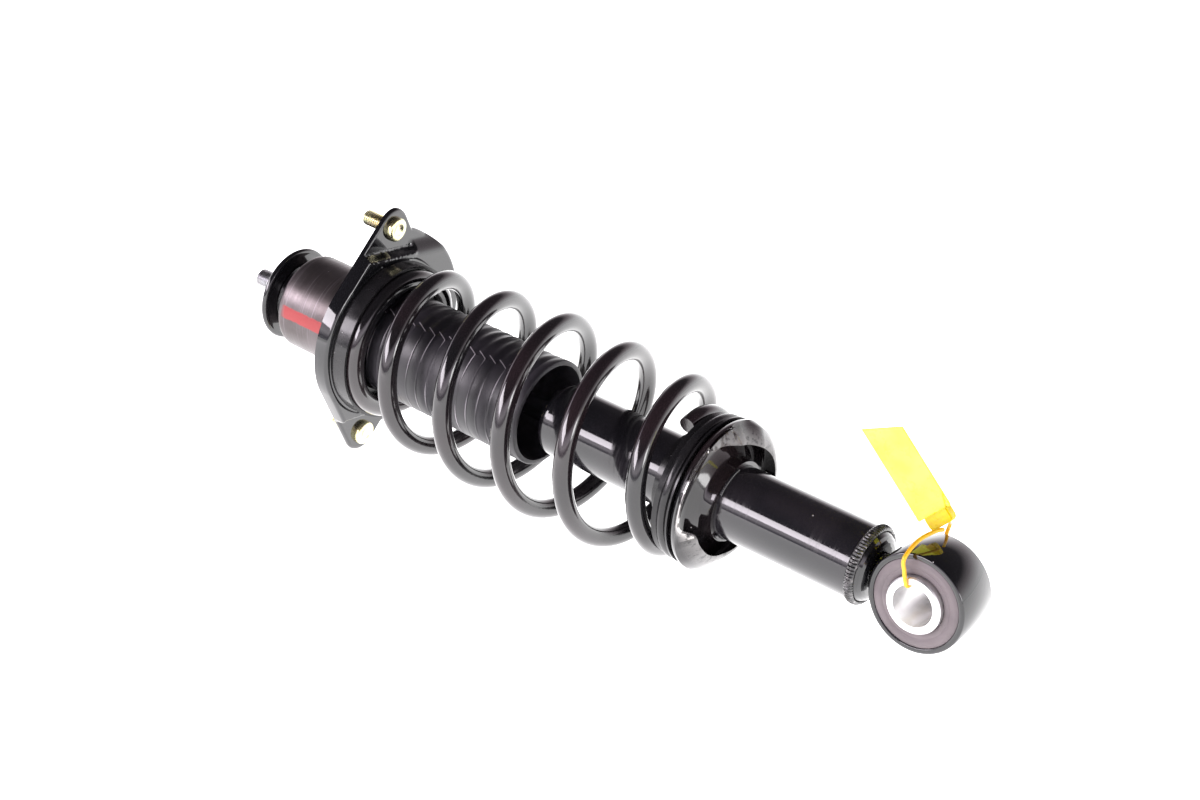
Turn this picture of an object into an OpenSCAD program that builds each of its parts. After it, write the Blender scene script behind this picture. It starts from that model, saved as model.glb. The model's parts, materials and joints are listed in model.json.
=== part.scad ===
// Coil-over strut assembly, lying along X.
// Origin: centre of the lower eye. +X runs up the strut to the top mount, Y is the eye bore axis.
// Each piece is drawn upright along Z in its own module and laid along X by along_strut().

/* [Lower eye] */
// Outside diameter of the welded eye ring, mm
eye_ring_dia = 60; // [50:0.5:72]
// Width of the eye ring along its bore, mm
eye_ring_width = 32; // [26:0.5:40]
// Wall of the eye ring, mm
eye_ring_wall = 3.5; // [2.5:0.1:5]
// Outside diameter of the steel sleeve in the bush, mm
eye_sleeve_dia = 34; // [26:0.5:38]
// Bore of the sleeve for the axle bolt or pin, mm
eye_bore_dia = 25; // [16:0.5:28]
// Length of the sleeve, which stands proud of the ring on both sides, mm
eye_sleeve_length = 38; // [34:0.5:48]

/* [Damper body] */
// Outside diameter of the damper tube, mm
tube_dia = 45; // [40:0.5:51]
// Wall of the damper tube, mm
tube_wall = 2; // [1.5:0.1:2.5]
// Distance from the eye centre to the open top of the damper tube, mm
tube_top = 262; // [230:1:300]
// Outside diameter of the inner pressure tube, mm
pressure_tube_dia = 32; // [30:0.5:33]
// Wall of the inner pressure tube, mm
pressure_tube_wall = 1.5; // [1.2:0.1:2]

/* [Piston rod] */
// Diameter of the piston rod, mm
rod_dia = 14; // [12.5:0.5:16]
// Nominal diameter of the thread at the top of the rod, mm
rod_thread_dia = 12; // [10:0.5:13]
// Travel of the damper from full rebound to full bump, mm
stroke = 90; // [60:1:95]

/* [Coil spring] */
// Diameter of the spring wire, mm
wire_dia = 12; // [9:0.1:13]
// Mean radius of the coil at its top seat, mm
spring_top_radius = 42.5; // [41.5:0.1:44]
// Mean radius of the coil at its widest, mm
spring_waist_radius = 56.5; // [50:0.1:60]
// Mean radius of the coil at its bottom seat, mm
spring_foot_radius = 40; // [38:0.1:41]
// Number of working turns between the two seats
active_turns = 4.85; // [4:0.05:5.5]
// Length of wire lying flat in each seat, turns
seat_turns = 0.7; // [0.5:0.05:0.75]

/* [Seats] */
// Distance from the eye centre to the flat of the lower perch, mm
perch_place = 146; // [120:1:170]
// Distance between the lower perch and the spring side of the top plate, mm
seat_gap = 254; // [220:1:290]
// Thickness of the rubber pads under the ends of the spring, mm
pad_thickness = 12; // [8:0.5:14]
// Radius of the rim of the lower perch, mm
perch_radius = 47; // [45:0.5:52]

/* [Top mount] */
// Radius of the round body of the plate on its near side, mm
plate_radius = 58; // [54:0.5:62]
// Radius of the wider flange on the plate's far side, mm
plate_far_radius = 70; // [64:0.5:74]
// Thickness of the plate, mm
plate_thickness = 3; // [2.5:0.1:3.5]
// Height of the raised spring seat over the stud lobes, mm
plate_rise = 7; // [5:0.5:9]
// Diameter of the circle through the two studs, mm
stud_circle_dia = 140; // [132:1:150]
// Nominal diameter of the studs, mm
stud_dia = 10; // [8:1:12]
// How far the studs stand out of the plate, mm
stud_length = 20; // [16:1:28]
// Turn of the stud line away from upright, degrees
stud_roll = 6.5; // [0:0.5:15]
// Outside diameter of the can round the top bush, mm
can_dia = 62; // [58:0.5:66]
// Length of the can, mm
can_length = 64; // [50:1:74]
// Diameter of the upper cup washer, mm
cup_dia = 61; // [50:0.5:64]

/* [Dust boot] */
// Outside diameter of the dust boot, mm
boot_dia = 67.6; // [66:0.1:68]
// Wall of the dust boot, mm
boot_wall = 3; // [2:0.1:3.5]
// Length of the dust boot, mm
boot_length = 132; // [100:1:134]
// Spacing of the ribs round the dust boot, mm
boot_rib_pitch = 8; // [5:0.5:10]

/* [Yellow seal] */
// Length of the blank plate of the seal, mm
tag_length = 49; // [30:1:56]
// Width of the blank plate, mm
tag_width = 25; // [18:1:28]
// Diameter of the seal's strap, mm
strap_dia = 2.4; // [1.6:0.1:3]

/* [Hidden] */
round_fn = 96;
hull_fn = 32;
eps = 0.01;
run_gap = 0.05;
ring_radius = eye_ring_dia / 2;
rubber_radius = ring_radius - eye_ring_wall;
sleeve_radius = eye_sleeve_dia / 2;
bore_radius = eye_bore_dia / 2;
tube_radius = tube_dia / 2;
tube_bore = tube_radius - tube_wall;
cap_base = ring_radius + 2;
cap_length = 12;
tube_base = cap_base + cap_length - 4;
cylinder_radius = pressure_tube_dia / 2;
cylinder_bore = cylinder_radius - pressure_tube_wall;
guide_length = 14;
seal_length = 6;
crimp_length = 3;
seal_base = tube_top - crimp_length - seal_length;
guide_base = seal_base - guide_length;
cylinder_base = cap_base + 18;
cylinder_top = guide_base + 5;
rod_radius = rod_dia / 2;
thread_radius = rod_thread_dia / 2;
stop_gap = 0.5;
rebound_length = 10;
rebound_base = guide_base - stop_gap - rebound_length;
collar_length = 4;
piston_length = 18;
piston_base = rebound_base - collar_length - 8 - piston_length;
plate_place = perch_place + seat_gap;
plate_hole_radius = 25;
can_radius = can_dia / 2;
can_wall = 2.5;
can_base = plate_place + plate_thickness;
can_top = can_base + can_length;
shoulder = plate_place + 2;
washer_thickness = 3;
core_base = shoulder + washer_thickness;
core_radius = 11;
core_top = can_top + 10;
cup_top = core_top + washer_thickness;
nut_height = 12;
rod_tip = cup_top + nut_height + 17;
stud_radius = stud_dia / 2;
stud_place = stud_circle_dia / 2;
lobe_radius = 13;
fold_place = 54;
wire_radius = wire_dia / 2;
pad_face = perch_place + pad_thickness;
body_gap = 0.3;
spring_foot = pad_face + wire_radius + body_gap;
spring_head = plate_place - pad_thickness / 2 - wire_radius;
spring_pitch = (spring_head - spring_foot) / active_turns;
spring_start_angle = 166;
total_turns = active_turns + 2 * seat_turns;
wire_steps = 26;
wire_sides = 12;
bump_top = shoulder;
bump_squeeze = 14;
bump_length = max(20, shoulder - tube_top - stroke + bump_squeeze);
boot_radius = boot_dia / 2;
boot_top = plate_place;
boot_flange_radius = 40;
boot_flange_height = 2;
tag_lift = 41;
tag_plane = -10;
tag_foot = [9, ring_radius + 10];
tag_thickness = 1.2;
strap_radius = strap_dia / 2;

// ---------- helpers ----------

// Lays a piece that is drawn upright along Z down along X.
module along_strut(place = 0) {
    translate([place, 0, 0])
        rotate([0, 90, 0])
            children();
}

// Turns a piece drawn upright so that its local X points at this angle from +Y towards +Z.
module face_angle(angle) {
    rotate([0, 0, angle + 90])
        children();
}

module hollow_post(outer, inner, height) {
    difference() {
        cylinder(r = outer, h = height, $fn = round_fn);
        translate([0, 0, -1])
            cylinder(r = inner, h = height + 2, $fn = round_fn);
    }
}

module turned(profile) {
    rotate_extrude($fn = round_fn)
        polygon(profile);
}

// Points of an arc, for turned profiles.
function arc(x, y, r, from, to, steps = 6) =
    [for (i = [0:steps]) [x + r * cos(from + (to - from) * i / steps),
        y + r * sin(from + (to - from) * i / steps)]];

// ---------- lower eye ----------

module eye_ring() {
    wall_out = ring_radius;
    wall_in = rubber_radius;
    half = eye_ring_width / 2;
    edge = 0.8;
    color([0.05, 0.05, 0.06])
        rotate([-90, 0, 0])
            turned(concat(
                arc(wall_out - edge, -half + edge, edge, -90, 0),
                arc(wall_out - edge, half - edge, edge, 0, 90),
                [[wall_in, half], [wall_in, -half]]));
}

// The rubber is dished a little on both faces.
module eye_rubber() {
    inner = sleeve_radius + run_gap;
    half = eye_ring_width / 2;
    dish = 1.5;
    middle = (inner + rubber_radius) / 2;
    color([0.25, 0.24, 0.25])
        rotate([-90, 0, 0])
            turned([[inner, -half + dish], [middle, -half + dish / 2], [rubber_radius, -half],
                [rubber_radius, half], [middle, half - dish / 2], [inner, half - dish]]);
}

module eye_sleeve() {
    half = eye_sleeve_length / 2;
    chamfer = 0.8;
    color([0.85, 0.85, 0.83])
        rotate([-90, 0, 0])
            turned([[bore_radius, -half], [sleeve_radius - chamfer, -half],
                [sleeve_radius, -half + chamfer], [sleeve_radius, half - chamfer],
                [sleeve_radius - chamfer, half], [bore_radius, half]]);
}

// A saddle of weld between the cap and the ring, with its underside cut to the ring.
module eye_weld() {
    saddle_radius = 11;
    color([0.07, 0.07, 0.08])
        difference() {
            along_strut(ring_radius - 6)
                cylinder(r1 = saddle_radius + 2, r2 = saddle_radius, h = cap_base - ring_radius + 6,
                    $fn = round_fn);
            rotate([90, 0, 0])
                cylinder(r = ring_radius, h = eye_ring_width + 20, center = true, $fn = round_fn);
        }
}

// ---------- damper body ----------

module base_cap() {
    edge = 8;
    wall = 3;
    outer = tube_radius - 0.5;
    color([0.04, 0.04, 0.05])
        along_strut(cap_base)
            turned(concat(
                [[0, 0]],
                arc(outer - edge, edge, edge, -90, 0),
                [[outer, cap_length - 4], [tube_bore, cap_length - 4], [tube_bore, cap_length + 2],
                    [tube_bore - wall, cap_length + 2]],
                arc(outer - edge, edge, edge - wall, 0, -90),
                [[0, wall]]));
}

// A fat bead rolled round the joint of tube and cap.
module base_weld() {
    bead = 3.4;
    outer = tube_radius + 2;
    color([0.1, 0.1, 0.11])
        along_strut(tube_base - 1)
            turned(concat(
                [[tube_radius, -bead]],
                arc(outer - bead + 1, 0, bead - 1, -70, 70, 8),
                [[tube_radius, bead]]));
}

module outer_tube() {
    edge = 6.5;
    lip = rod_radius + 5;
    color([0.04, 0.04, 0.05])
        along_strut()
            turned(concat(
                [[tube_bore, tube_base], [tube_radius, tube_base]],
                arc(tube_radius - edge, tube_top - edge, edge, 0, 90),
                [[lip, tube_top], [lip, tube_top - crimp_length], [tube_bore, tube_top - crimp_length]]));
}

module pressure_tube() {
    color([0.6, 0.6, 0.62])
        along_strut(cylinder_base)
            hollow_post(cylinder_radius, cylinder_bore, cylinder_top - cylinder_base);
}

// Sits in the tube and steps down into the pressure tube.
module rod_guide() {
    bore = rod_radius + 2;
    step = cylinder_top - guide_base;
    color([0.5, 0.5, 0.5])
        along_strut(guide_base)
            turned([[bore, 0], [cylinder_bore, 0], [cylinder_bore, step], [tube_bore, step],
                [tube_bore, guide_length], [bore, guide_length]]);
}

module guide_bush() {
    color([0.45, 0.35, 0.2])
        along_strut(guide_base)
            hollow_post(rod_radius + 2, rod_radius + run_gap, guide_length);
}

module oil_seal() {
    lip = rod_radius + run_gap;
    color([0.1, 0.1, 0.1])
        along_strut(seal_base)
            turned([[lip + 2, 0], [tube_bore, 0], [tube_bore, seal_length], [lip + 2, seal_length],
                [lip, seal_length - 2], [lip + 1, seal_length / 2], [lip, 1.5]]);
}

// Closes the foot of the pressure tube, with ports that let oil into the outer tube.
module base_valve() {
    port_circle = 9;
    foot_length = 6;
    color([0.55, 0.55, 0.57])
        along_strut(cylinder_base)
            difference() {
                union() {
                    cylinder(r = cylinder_bore, h = foot_length, $fn = round_fn);
                    translate([0, 0, -foot_length])
                        cylinder(r = cylinder_radius, h = foot_length, $fn = round_fn);
                    translate([0, 0, 4 - cylinder_base + cap_base])
                        hollow_post(cylinder_radius, cylinder_radius - 3,
                            cylinder_base - cap_base - foot_length - 4 + eps);
                }
                for (i = [0:5])
                    rotate([0, 0, 60 * i])
                        translate([port_circle, 0, -foot_length - 1])
                            cylinder(r = 1.5, h = 2 * foot_length + 2, $fn = round_fn);
                for (i = [0:3])
                    rotate([0, 0, 90 * i])
                        translate([0, 0, -foot_length - 4])
                            rotate([0, 90, 0])
                                cylinder(r = 2, h = cylinder_radius + 2, $fn = round_fn);
                translate([0, 0, -foot_length - 1])
                    cylinder(r = 2.5, h = 2 * foot_length + 2, $fn = round_fn);
            }
}

module base_valve_shims() {
    color([0.7, 0.7, 0.72])
        along_strut(cylinder_base + 6)
            difference() {
                union() {
                    cylinder(r = 11.5, h = 0.6, $fn = round_fn);
                    cylinder(r = 8, h = 1.2, $fn = round_fn);
                    cylinder(r = 6, h = 1.8, $fn = round_fn);
                }
                translate([0, 0, -1])
                    cylinder(r = 2.5, h = 4, $fn = round_fn);
            }
}

module base_valve_pin() {
    color([0.65, 0.65, 0.67])
        along_strut(cylinder_base - 6) {
            cylinder(r = 2.5, h = 13.8, $fn = round_fn);
            translate([0, 0, 13.8])
                cylinder(r = 4.5, h = 2.5, $fn = round_fn);
            translate([0, 0, -2])
                cylinder(r = 4.5, h = 2, $fn = round_fn);
        }
}

// ---------- lower spring seat ----------

// Section of the stamped perch: sleeve on the tube, cone, flat seat and turned-down rim.
module perch_section() {
    sheet = 2.5;
    foot = -16;
    knee = tube_radius + 11;
    polygon(concat(
        [[tube_radius, foot], [tube_radius + sheet, foot], [tube_radius + sheet, foot + 8],
            [knee, -sheet], [perch_radius - 7, -sheet]],
        arc(perch_radius - 7, -sheet - 4.5, 4.5, 90, 0, 5),
        [[perch_radius - 2.5, -7.5], [perch_radius, -7.5]],
        arc(perch_radius - 7, -7, 7, 0, 90, 5),
        [[knee - 2, 0], [tube_radius, foot + 11]]));
}

// A deeper stretch of rim over this angle, dropping this far and tapering in at its foot.
module perch_wing(angle, drop) {
    outer = perch_radius - 0.1;
    sheet = 2.3;
    taper = 8;
    rotate_extrude(angle = angle, $fn = round_fn)
        polygon([[outer - sheet, -6.5], [outer, -6.5], [outer, -8.5], [outer - taper, -drop],
            [outer - taper - sheet, -drop], [outer - sheet, -9.5]]);
}

module spring_perch() {
    color([0.05, 0.05, 0.06])
        along_strut(perch_place) {
            rotate_extrude($fn = round_fn)
                perch_section();
            face_angle(62)
                perch_wing(118, 20);
            face_angle(240)
                perch_wing(110, 17);
        }
}

// Three short welds between the foot of the perch and the tube.
module perch_welds() {
    bead = 2.2;
    arc_length = 50;
    color([0.1, 0.1, 0.11])
        along_strut(perch_place - 16)
            for (i = [0:2])
                rotate([0, 0, 120 * i])
                    rotate_extrude(angle = arc_length, $fn = round_fn)
                        polygon([[tube_radius, 0], [tube_radius, -bead], [tube_radius + bead, 0]]);
}

// Rubber pad with a centring collar and a ramp of notches round its edge.
module lower_spring_pad() {
    outer = spring_foot_radius + wire_radius;
    inner = tube_radius + 2;
    notch_count = 7;
    color([0.08, 0.08, 0.08])
        along_strut(perch_place)
            difference() {
                turned([[inner, 0], [outer - 2, 0], [outer, 2], [outer, pad_thickness - 3],
                    [outer - 2, pad_thickness], [spring_foot_radius - wire_radius - 0.5, pad_thickness],
                    [inner + 5, pad_thickness + 8], [inner + 3, pad_thickness + 13],
                    [inner, pad_thickness + 13]]);
                for (i = [0:notch_count - 1])
                    rotate([0, 0, 360 / notch_count * i])
                        translate([outer - 1.5, -2, 4])
                            cube([4, 4, pad_thickness - 8.5]);
            }
}

// ---------- coil spring ----------

// Distance along the strut after this many turns, counted from the top end of the wire.
function wire_height(turn) =
    spring_head - spring_pitch * min(max(turn - seat_turns, 0), active_turns);

function wire_mean_radius(turn) =
    lookup(turn, [[0, spring_top_radius], [seat_turns, spring_top_radius],
        [seat_turns + 0.5, spring_waist_radius - 5.5],
        [seat_turns + active_turns / 2, spring_waist_radius],
        [seat_turns + active_turns - 0.4, spring_waist_radius - 2],
        [seat_turns + active_turns, spring_foot_radius + 3],
        [total_turns, spring_foot_radius]]);

// The wire's angle from +Y towards +Z; it falls as the wire runs down to the eye.
function wire_angle(turn) = spring_start_angle - 360 * turn;

// One ring of points round the wire, in the plane through the strut's axis.
function wire_ring(turn) =
    [for (s = [0:wire_sides - 1])
        let (swing = 360 * s / wire_sides,
            reach = wire_mean_radius(turn) + wire_radius * cos(swing))
        [wire_height(turn) + wire_radius * sin(swing),
            reach * cos(wire_angle(turn)),
            reach * sin(wire_angle(turn))]];

module coil_spring() {
    stations = round(total_turns * wire_steps);
    rings = [for (i = [0:stations]) each wire_ring(total_turns * i / stations)];
    sides = [for (i = [0:stations - 1], s = [0:wire_sides - 1])
        let (a = i * wire_sides + s, b = i * wire_sides + (s + 1) % wire_sides)
        each [[a, b, b + wire_sides], [a, b + wire_sides, a + wire_sides]]];
    first_end = [for (s = [wire_sides - 1:-1:0]) s];
    last_end = [for (s = [0:wire_sides - 1]) stations * wire_sides + s];
    color([0.04, 0.04, 0.05])
        polyhedron(points = rings, faces = concat(sides, [first_end, last_end]), convexity = 12);
}

// ---------- rod and piston ----------

module piston_rod() {
    shank_base = piston_base - 10;
    color([0.8, 0.8, 0.82])
        along_strut() {
            translate([0, 0, shank_base])
                cylinder(r = 5, h = piston_length + 18, $fn = round_fn);
            translate([0, 0, piston_base + piston_length + 2])
                cylinder(r = rod_radius, h = shoulder - piston_base - piston_length - 2, $fn = round_fn);
            translate([0, 0, shoulder - eps])
                cylinder(r = thread_radius, h = rod_tip - shoulder - 1 + eps, $fn = round_fn);
            translate([0, 0, rod_tip - 1 - eps])
                cylinder(r1 = thread_radius, r2 = thread_radius - 1, h = 1 + eps, $fn = round_fn);
        }
}

module rebound_stop() {
    color([0.2, 0.2, 0.2])
        along_strut(rebound_base)
            hollow_post(cylinder_bore - 1.5, rod_radius, rebound_length);
}

module rebound_collar() {
    color([0.6, 0.6, 0.6])
        along_strut(rebound_base - collar_length)
            hollow_post(cylinder_bore - 3, rod_radius, collar_length);
}

module piston() {
    groove = 1.2;
    land = 4;
    outer = cylinder_bore - run_gap;
    color([0.55, 0.55, 0.57])
        along_strut(piston_base)
            difference() {
                turned([[5, 0], [outer, 0], [outer, land], [outer - groove, land],
                    [outer - groove, piston_length - land], [outer, piston_length - land],
                    [outer, piston_length], [5, piston_length]]);
                for (i = [0:7])
                    rotate([0, 0, 45 * i])
                        translate([9.5, 0, -1])
                            cylinder(r = 1.6, h = piston_length + 2, $fn = round_fn);
            }
}

module piston_band() {
    outer = cylinder_bore - run_gap;
    color([0.25, 0.2, 0.12])
        along_strut(piston_base + 4)
            hollow_post(outer, outer - 1.2, piston_length - 8);
}

module shim_stack(first_radius) {
    sheet = 0.5;
    for (i = [0:3])
        translate([0, 0, sheet * i])
            hollow_post(first_radius - 1.5 * i, 5, sheet);
}

module rebound_shims() {
    color([0.7, 0.7, 0.72])
        along_strut(piston_base)
            mirror([0, 0, 1])
                shim_stack(12.5);
}

module bump_shims() {
    color([0.7, 0.7, 0.72])
        along_strut(piston_base + piston_length)
            shim_stack(12);
}

module piston_nut() {
    color([0.6, 0.6, 0.62])
        along_strut(piston_base - 10)
            difference() {
                cylinder(r = 9.5, h = 8, $fn = 6);
                translate([0, 0, -1])
                    cylinder(r = 5, h = 10, $fn = round_fn);
            }
}

// ---------- bump stop and boot ----------

// Foam stop with two waists.
module bump_stop() {
    inner = rod_radius + 0.3;
    step = bump_length / 6;
    color([0.75, 0.7, 0.55])
        along_strut(bump_top - bump_length)
            turned([[inner, 0], [14, 0], [17, step], [14, 2 * step], [20, 3 * step],
                [17, 4 * step], [23, 5 * step], [22, 6 * step], [inner, 6 * step]]);
}

// Ribbed sleeve, open at its foot, hung from a flange in the upper seat.
module dust_boot() {
    inner = boot_radius - boot_wall;
    rib = 0.5;
    flange_foot = boot_length - boot_flange_height;
    ribs = floor((flange_foot - 6) / boot_rib_pitch);
    ribbed = [for (i = [0:ribs - 1])
        each [[boot_radius, boot_rib_pitch * i + 0.6], [boot_radius, boot_rib_pitch * (i + 1) - 0.6],
            [boot_radius - rib, boot_rib_pitch * (i + 1)]]];
    color([0.07, 0.07, 0.08])
        along_strut(boot_top - boot_length)
            turned(concat(
                [[inner, 0], [boot_radius - rib, 0]],
                ribbed,
                [[boot_radius - rib, flange_foot], [boot_flange_radius, flange_foot],
                    [boot_flange_radius, boot_length], [inner, boot_length]]));
}

// ---------- top mount ----------

// Outline of the plate, drawn in by inset all round.
module plate_outline(inset) {
    hull() {
        circle(r = plate_radius - inset, $fn = 2 * hull_fn);
        for (side = [-1, 1])
            translate([side * stud_place, 0])
                circle(r = lobe_radius - inset, $fn = hull_fn);
    }
    intersection() {
        circle(r = plate_far_radius - inset, $fn = 3 * hull_fn);
        translate([-plate_far_radius, -plate_far_radius])
            square([2 * plate_far_radius, plate_far_radius]);
    }
}

// The plate's outline between the two folds.
module seat_outline(inset) {
    intersection() {
        plate_outline(inset);
        translate([-fold_place + inset, -plate_far_radius])
            square([2 * (fold_place - inset), 2 * plate_far_radius]);
    }
}

// The plate, drawn with its stud line along local X and its near side towards local +Y.
module mount_plate() {
    color([0.06, 0.06, 0.07])
        along_strut(plate_place)
            face_angle(90 + stud_roll)
                mirror([0, 1, 0])
                    difference() {
                        union() {
                            linear_extrude(plate_rise + plate_thickness)
                                seat_outline(0);
                            translate([0, 0, plate_rise])
                                linear_extrude(plate_thickness)
                                    plate_outline(0);
                        }
                        translate([0, 0, plate_thickness])
                            linear_extrude(plate_rise + plate_thickness)
                                seat_outline(plate_thickness);
                        translate([0, 0, -1])
                            cylinder(r = plate_hole_radius, h = 20, $fn = round_fn);
                        for (side = [-1, 1])
                            translate([side * stud_place, 0, -1])
                                cylinder(r = stud_radius + 0.5, h = 20, $fn = round_fn);
                        translate([-stud_place + 9, 13, -1])
                            cylinder(r = 1.6, h = 20, $fn = round_fn);
                    }
}

// Headed studs pressed into the two lobes.
module mount_studs() {
    head_radius = 1.6 * stud_radius;
    head_height = 3.6;
    color([0.8, 0.75, 0.35])
        along_strut(plate_place + plate_rise)
            face_angle(90 + stud_roll)
                for (side = [-1, 1])
                    translate([side * stud_place, 0, 0]) {
                        translate([0, 0, -head_height])
                            cylinder(r1 = head_radius - 1, r2 = head_radius, h = head_height,
                                $fn = round_fn);
                        translate([0, 0, -eps])
                            cylinder(r = stud_radius + 0.5, h = plate_thickness + eps, $fn = round_fn);
                        translate([0, 0, plate_thickness - eps])
                            cylinder(r = stud_radius, h = stud_length + eps, $fn = round_fn);
                    }
}

module mount_can() {
    edge = 5;
    lip = can_radius - 8;
    inner = can_radius - can_wall;
    height = can_length;
    color([0.35, 0.34, 0.34])
        along_strut(can_base)
            turned(concat(
                [[inner, 0], [can_radius, 0]],
                arc(can_radius - edge, height - edge, edge, 0, 90),
                [[lip, height], [lip, height - can_wall]],
                arc(can_radius - edge, height - edge, edge - can_wall, 90, 0)));
}

// Rubber between the can and the steel core, bulging out of the can's top.
module mount_rubber() {
    inner = can_radius - can_wall;
    lip = can_radius - 8;
    height = can_length;
    color([0.08, 0.08, 0.08])
        along_strut(can_base)
            turned([[core_radius, 6], [core_radius + 6, 3], [inner - 4, 3], [inner, 6],
                [inner, height - 6], [lip, height - can_wall - 1], [lip, height],
                [core_radius + 3, height + 5], [core_radius, height + 5]]);
}

module mount_sleeve() {
    color([0.7, 0.7, 0.72])
        along_strut(core_base)
            hollow_post(core_radius, thread_radius, core_top - core_base);
}

module lower_cup_washer() {
    color([0.5, 0.5, 0.52])
        along_strut(shoulder)
            turned([[thread_radius, 0], [20, 0], [23, 1.5], [23, 3.5], [20, washer_thickness],
                [thread_radius, washer_thickness]]);
}

// Dished washer with a rolled rim that clamps the top of the bush.
module upper_cup_washer() {
    outer = cup_dia / 2;
    roll = 2.2;
    step = outer - 10;
    color([0.04, 0.04, 0.05])
        along_strut(core_top)
            turned(concat(
                [[thread_radius, 0], [step - 3, 0], [step, -3]],
                arc(outer - roll, 1.5, roll, -90, 60, 8),
                [[outer - roll - 1, 2.2], [step + 1, 0.2], [step - 2, washer_thickness],
                    [thread_radius, washer_thickness]]));
}

module rod_nut() {
    color([0.6, 0.58, 0.55])
        along_strut(cup_top)
            difference() {
                union() {
                    cylinder(r = 10.9, h = nut_height - 2, $fn = 6);
                    cylinder(r = 9.3, h = nut_height, $fn = round_fn);
                }
                translate([0, 0, -1])
                    cylinder(r = thread_radius, h = nut_height + 2, $fn = round_fn);
            }
}

// Rubber ring between the spring's top coil and the plate, with a lip outside the wire.
module upper_spring_pad() {
    flat = pad_thickness / 2;
    inner = boot_radius + 0.2;
    outer = spring_top_radius + wire_radius + 1;
    recess = boot_flange_height + 0.1;
    color([0.08, 0.08, 0.08])
        along_strut(plate_place - flat)
            turned([[inner, 0], [outer - 1, 0], [outer - 0.6, -5], [outer + 1.2, -5],
                [outer + 1.6, flat - 2], [outer + 0.6, flat], [boot_flange_radius, flat],
                [boot_flange_radius, flat - recess], [inner, flat - recess]]);
}

// ---------- yellow seal ----------

// Draws in the seal's own plane: local X runs up the tag, local Y across it.
module in_tag_plane(thickness) {
    translate([tag_foot[0], tag_plane, tag_foot[1]])
        rotate([0, -tag_lift, 0])
            rotate([90, 0, 0])
                translate([0, 0, -thickness / 2])
                    linear_extrude(thickness)
                        children();
}

module seal_tag() {
    ridge_count = 3;
    slant = 10.5;
    color([0.95, 0.95, 0.2]) {
        in_tag_plane(tag_thickness)
            polygon([[4, -tag_width / 2], [4 + tag_length + slant, -tag_width / 2],
                [4 + tag_length, tag_width / 2], [4, tag_width / 2]]);
        for (i = [0:ridge_count - 1])
            in_tag_plane(tag_thickness + 0.8)
                translate([5 + 3 * i, -tag_width / 2])
                    square([1.2, tag_width]);
    }
}

module seal_lock() {
    color([0.95, 0.9, 0.1])
        in_tag_plane(6)
            translate([-5, -tag_width / 2 + 8])
                square([9, 13]);
}

// One round bar between two points of the strap.
module strap_bar(a, b) {
    hull() {
        translate(a)
            sphere(r = strap_radius, $fn = 12);
        translate(b)
            sphere(r = strap_radius, $fn = 12);
    }
}

module strap_run(points) {
    for (i = [0:len(points) - 2])
        strap_bar(points[i], points[i + 1]);
}

// Both runs stop at the rim of the bore, so that the bolt's way in stays open.
module seal_strap() {
    face = eye_sleeve_length / 2 + strap_radius + body_gap;
    rim = bore_radius + strap_radius + 0.4;
    top = ring_radius + 5;
    color([0.98, 0.85, 0.1]) {
        strap_run([[3, tag_plane + 3.5, top + 2], [5, 0, top + 2.5], [8, 12, top],
            [9, face + 1.5, top - 7], [8, face + 0.5, top - 15],
            [rim * sin(30), face, rim * cos(30)]]);
        strap_run([[3, tag_plane - 3.5, top + 1.5], [6, -face, top - 2],
            [7.5, -face - 1, top - 13], [rim * sin(30), -face, rim * cos(30)]]);
    }
}

// ---------- node list ----------

mount_plate();
mount_can();
mount_rubber();
mount_sleeve();
mount_studs();
upper_spring_pad();
upper_cup_washer();
lower_cup_washer();
rod_nut();
piston_rod();
bump_stop();
dust_boot();
coil_spring();
rebound_stop();
rebound_collar();
piston();
piston_band();
rebound_shims();
bump_shims();
piston_nut();
outer_tube();
pressure_tube();
rod_guide();
guide_bush();
oil_seal();
base_valve();
base_valve_shims();
base_valve_pin();
base_cap();
base_weld();
spring_perch();
perch_welds();
lower_spring_pad();
eye_ring();
eye_weld();
eye_rubber();
seal_tag();
seal_lock();
seal_strap();
eye_sleeve();
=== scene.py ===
"""Looks for a coil-over strut: paint, rubber, welds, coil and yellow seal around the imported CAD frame."""

import json
import math

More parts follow.
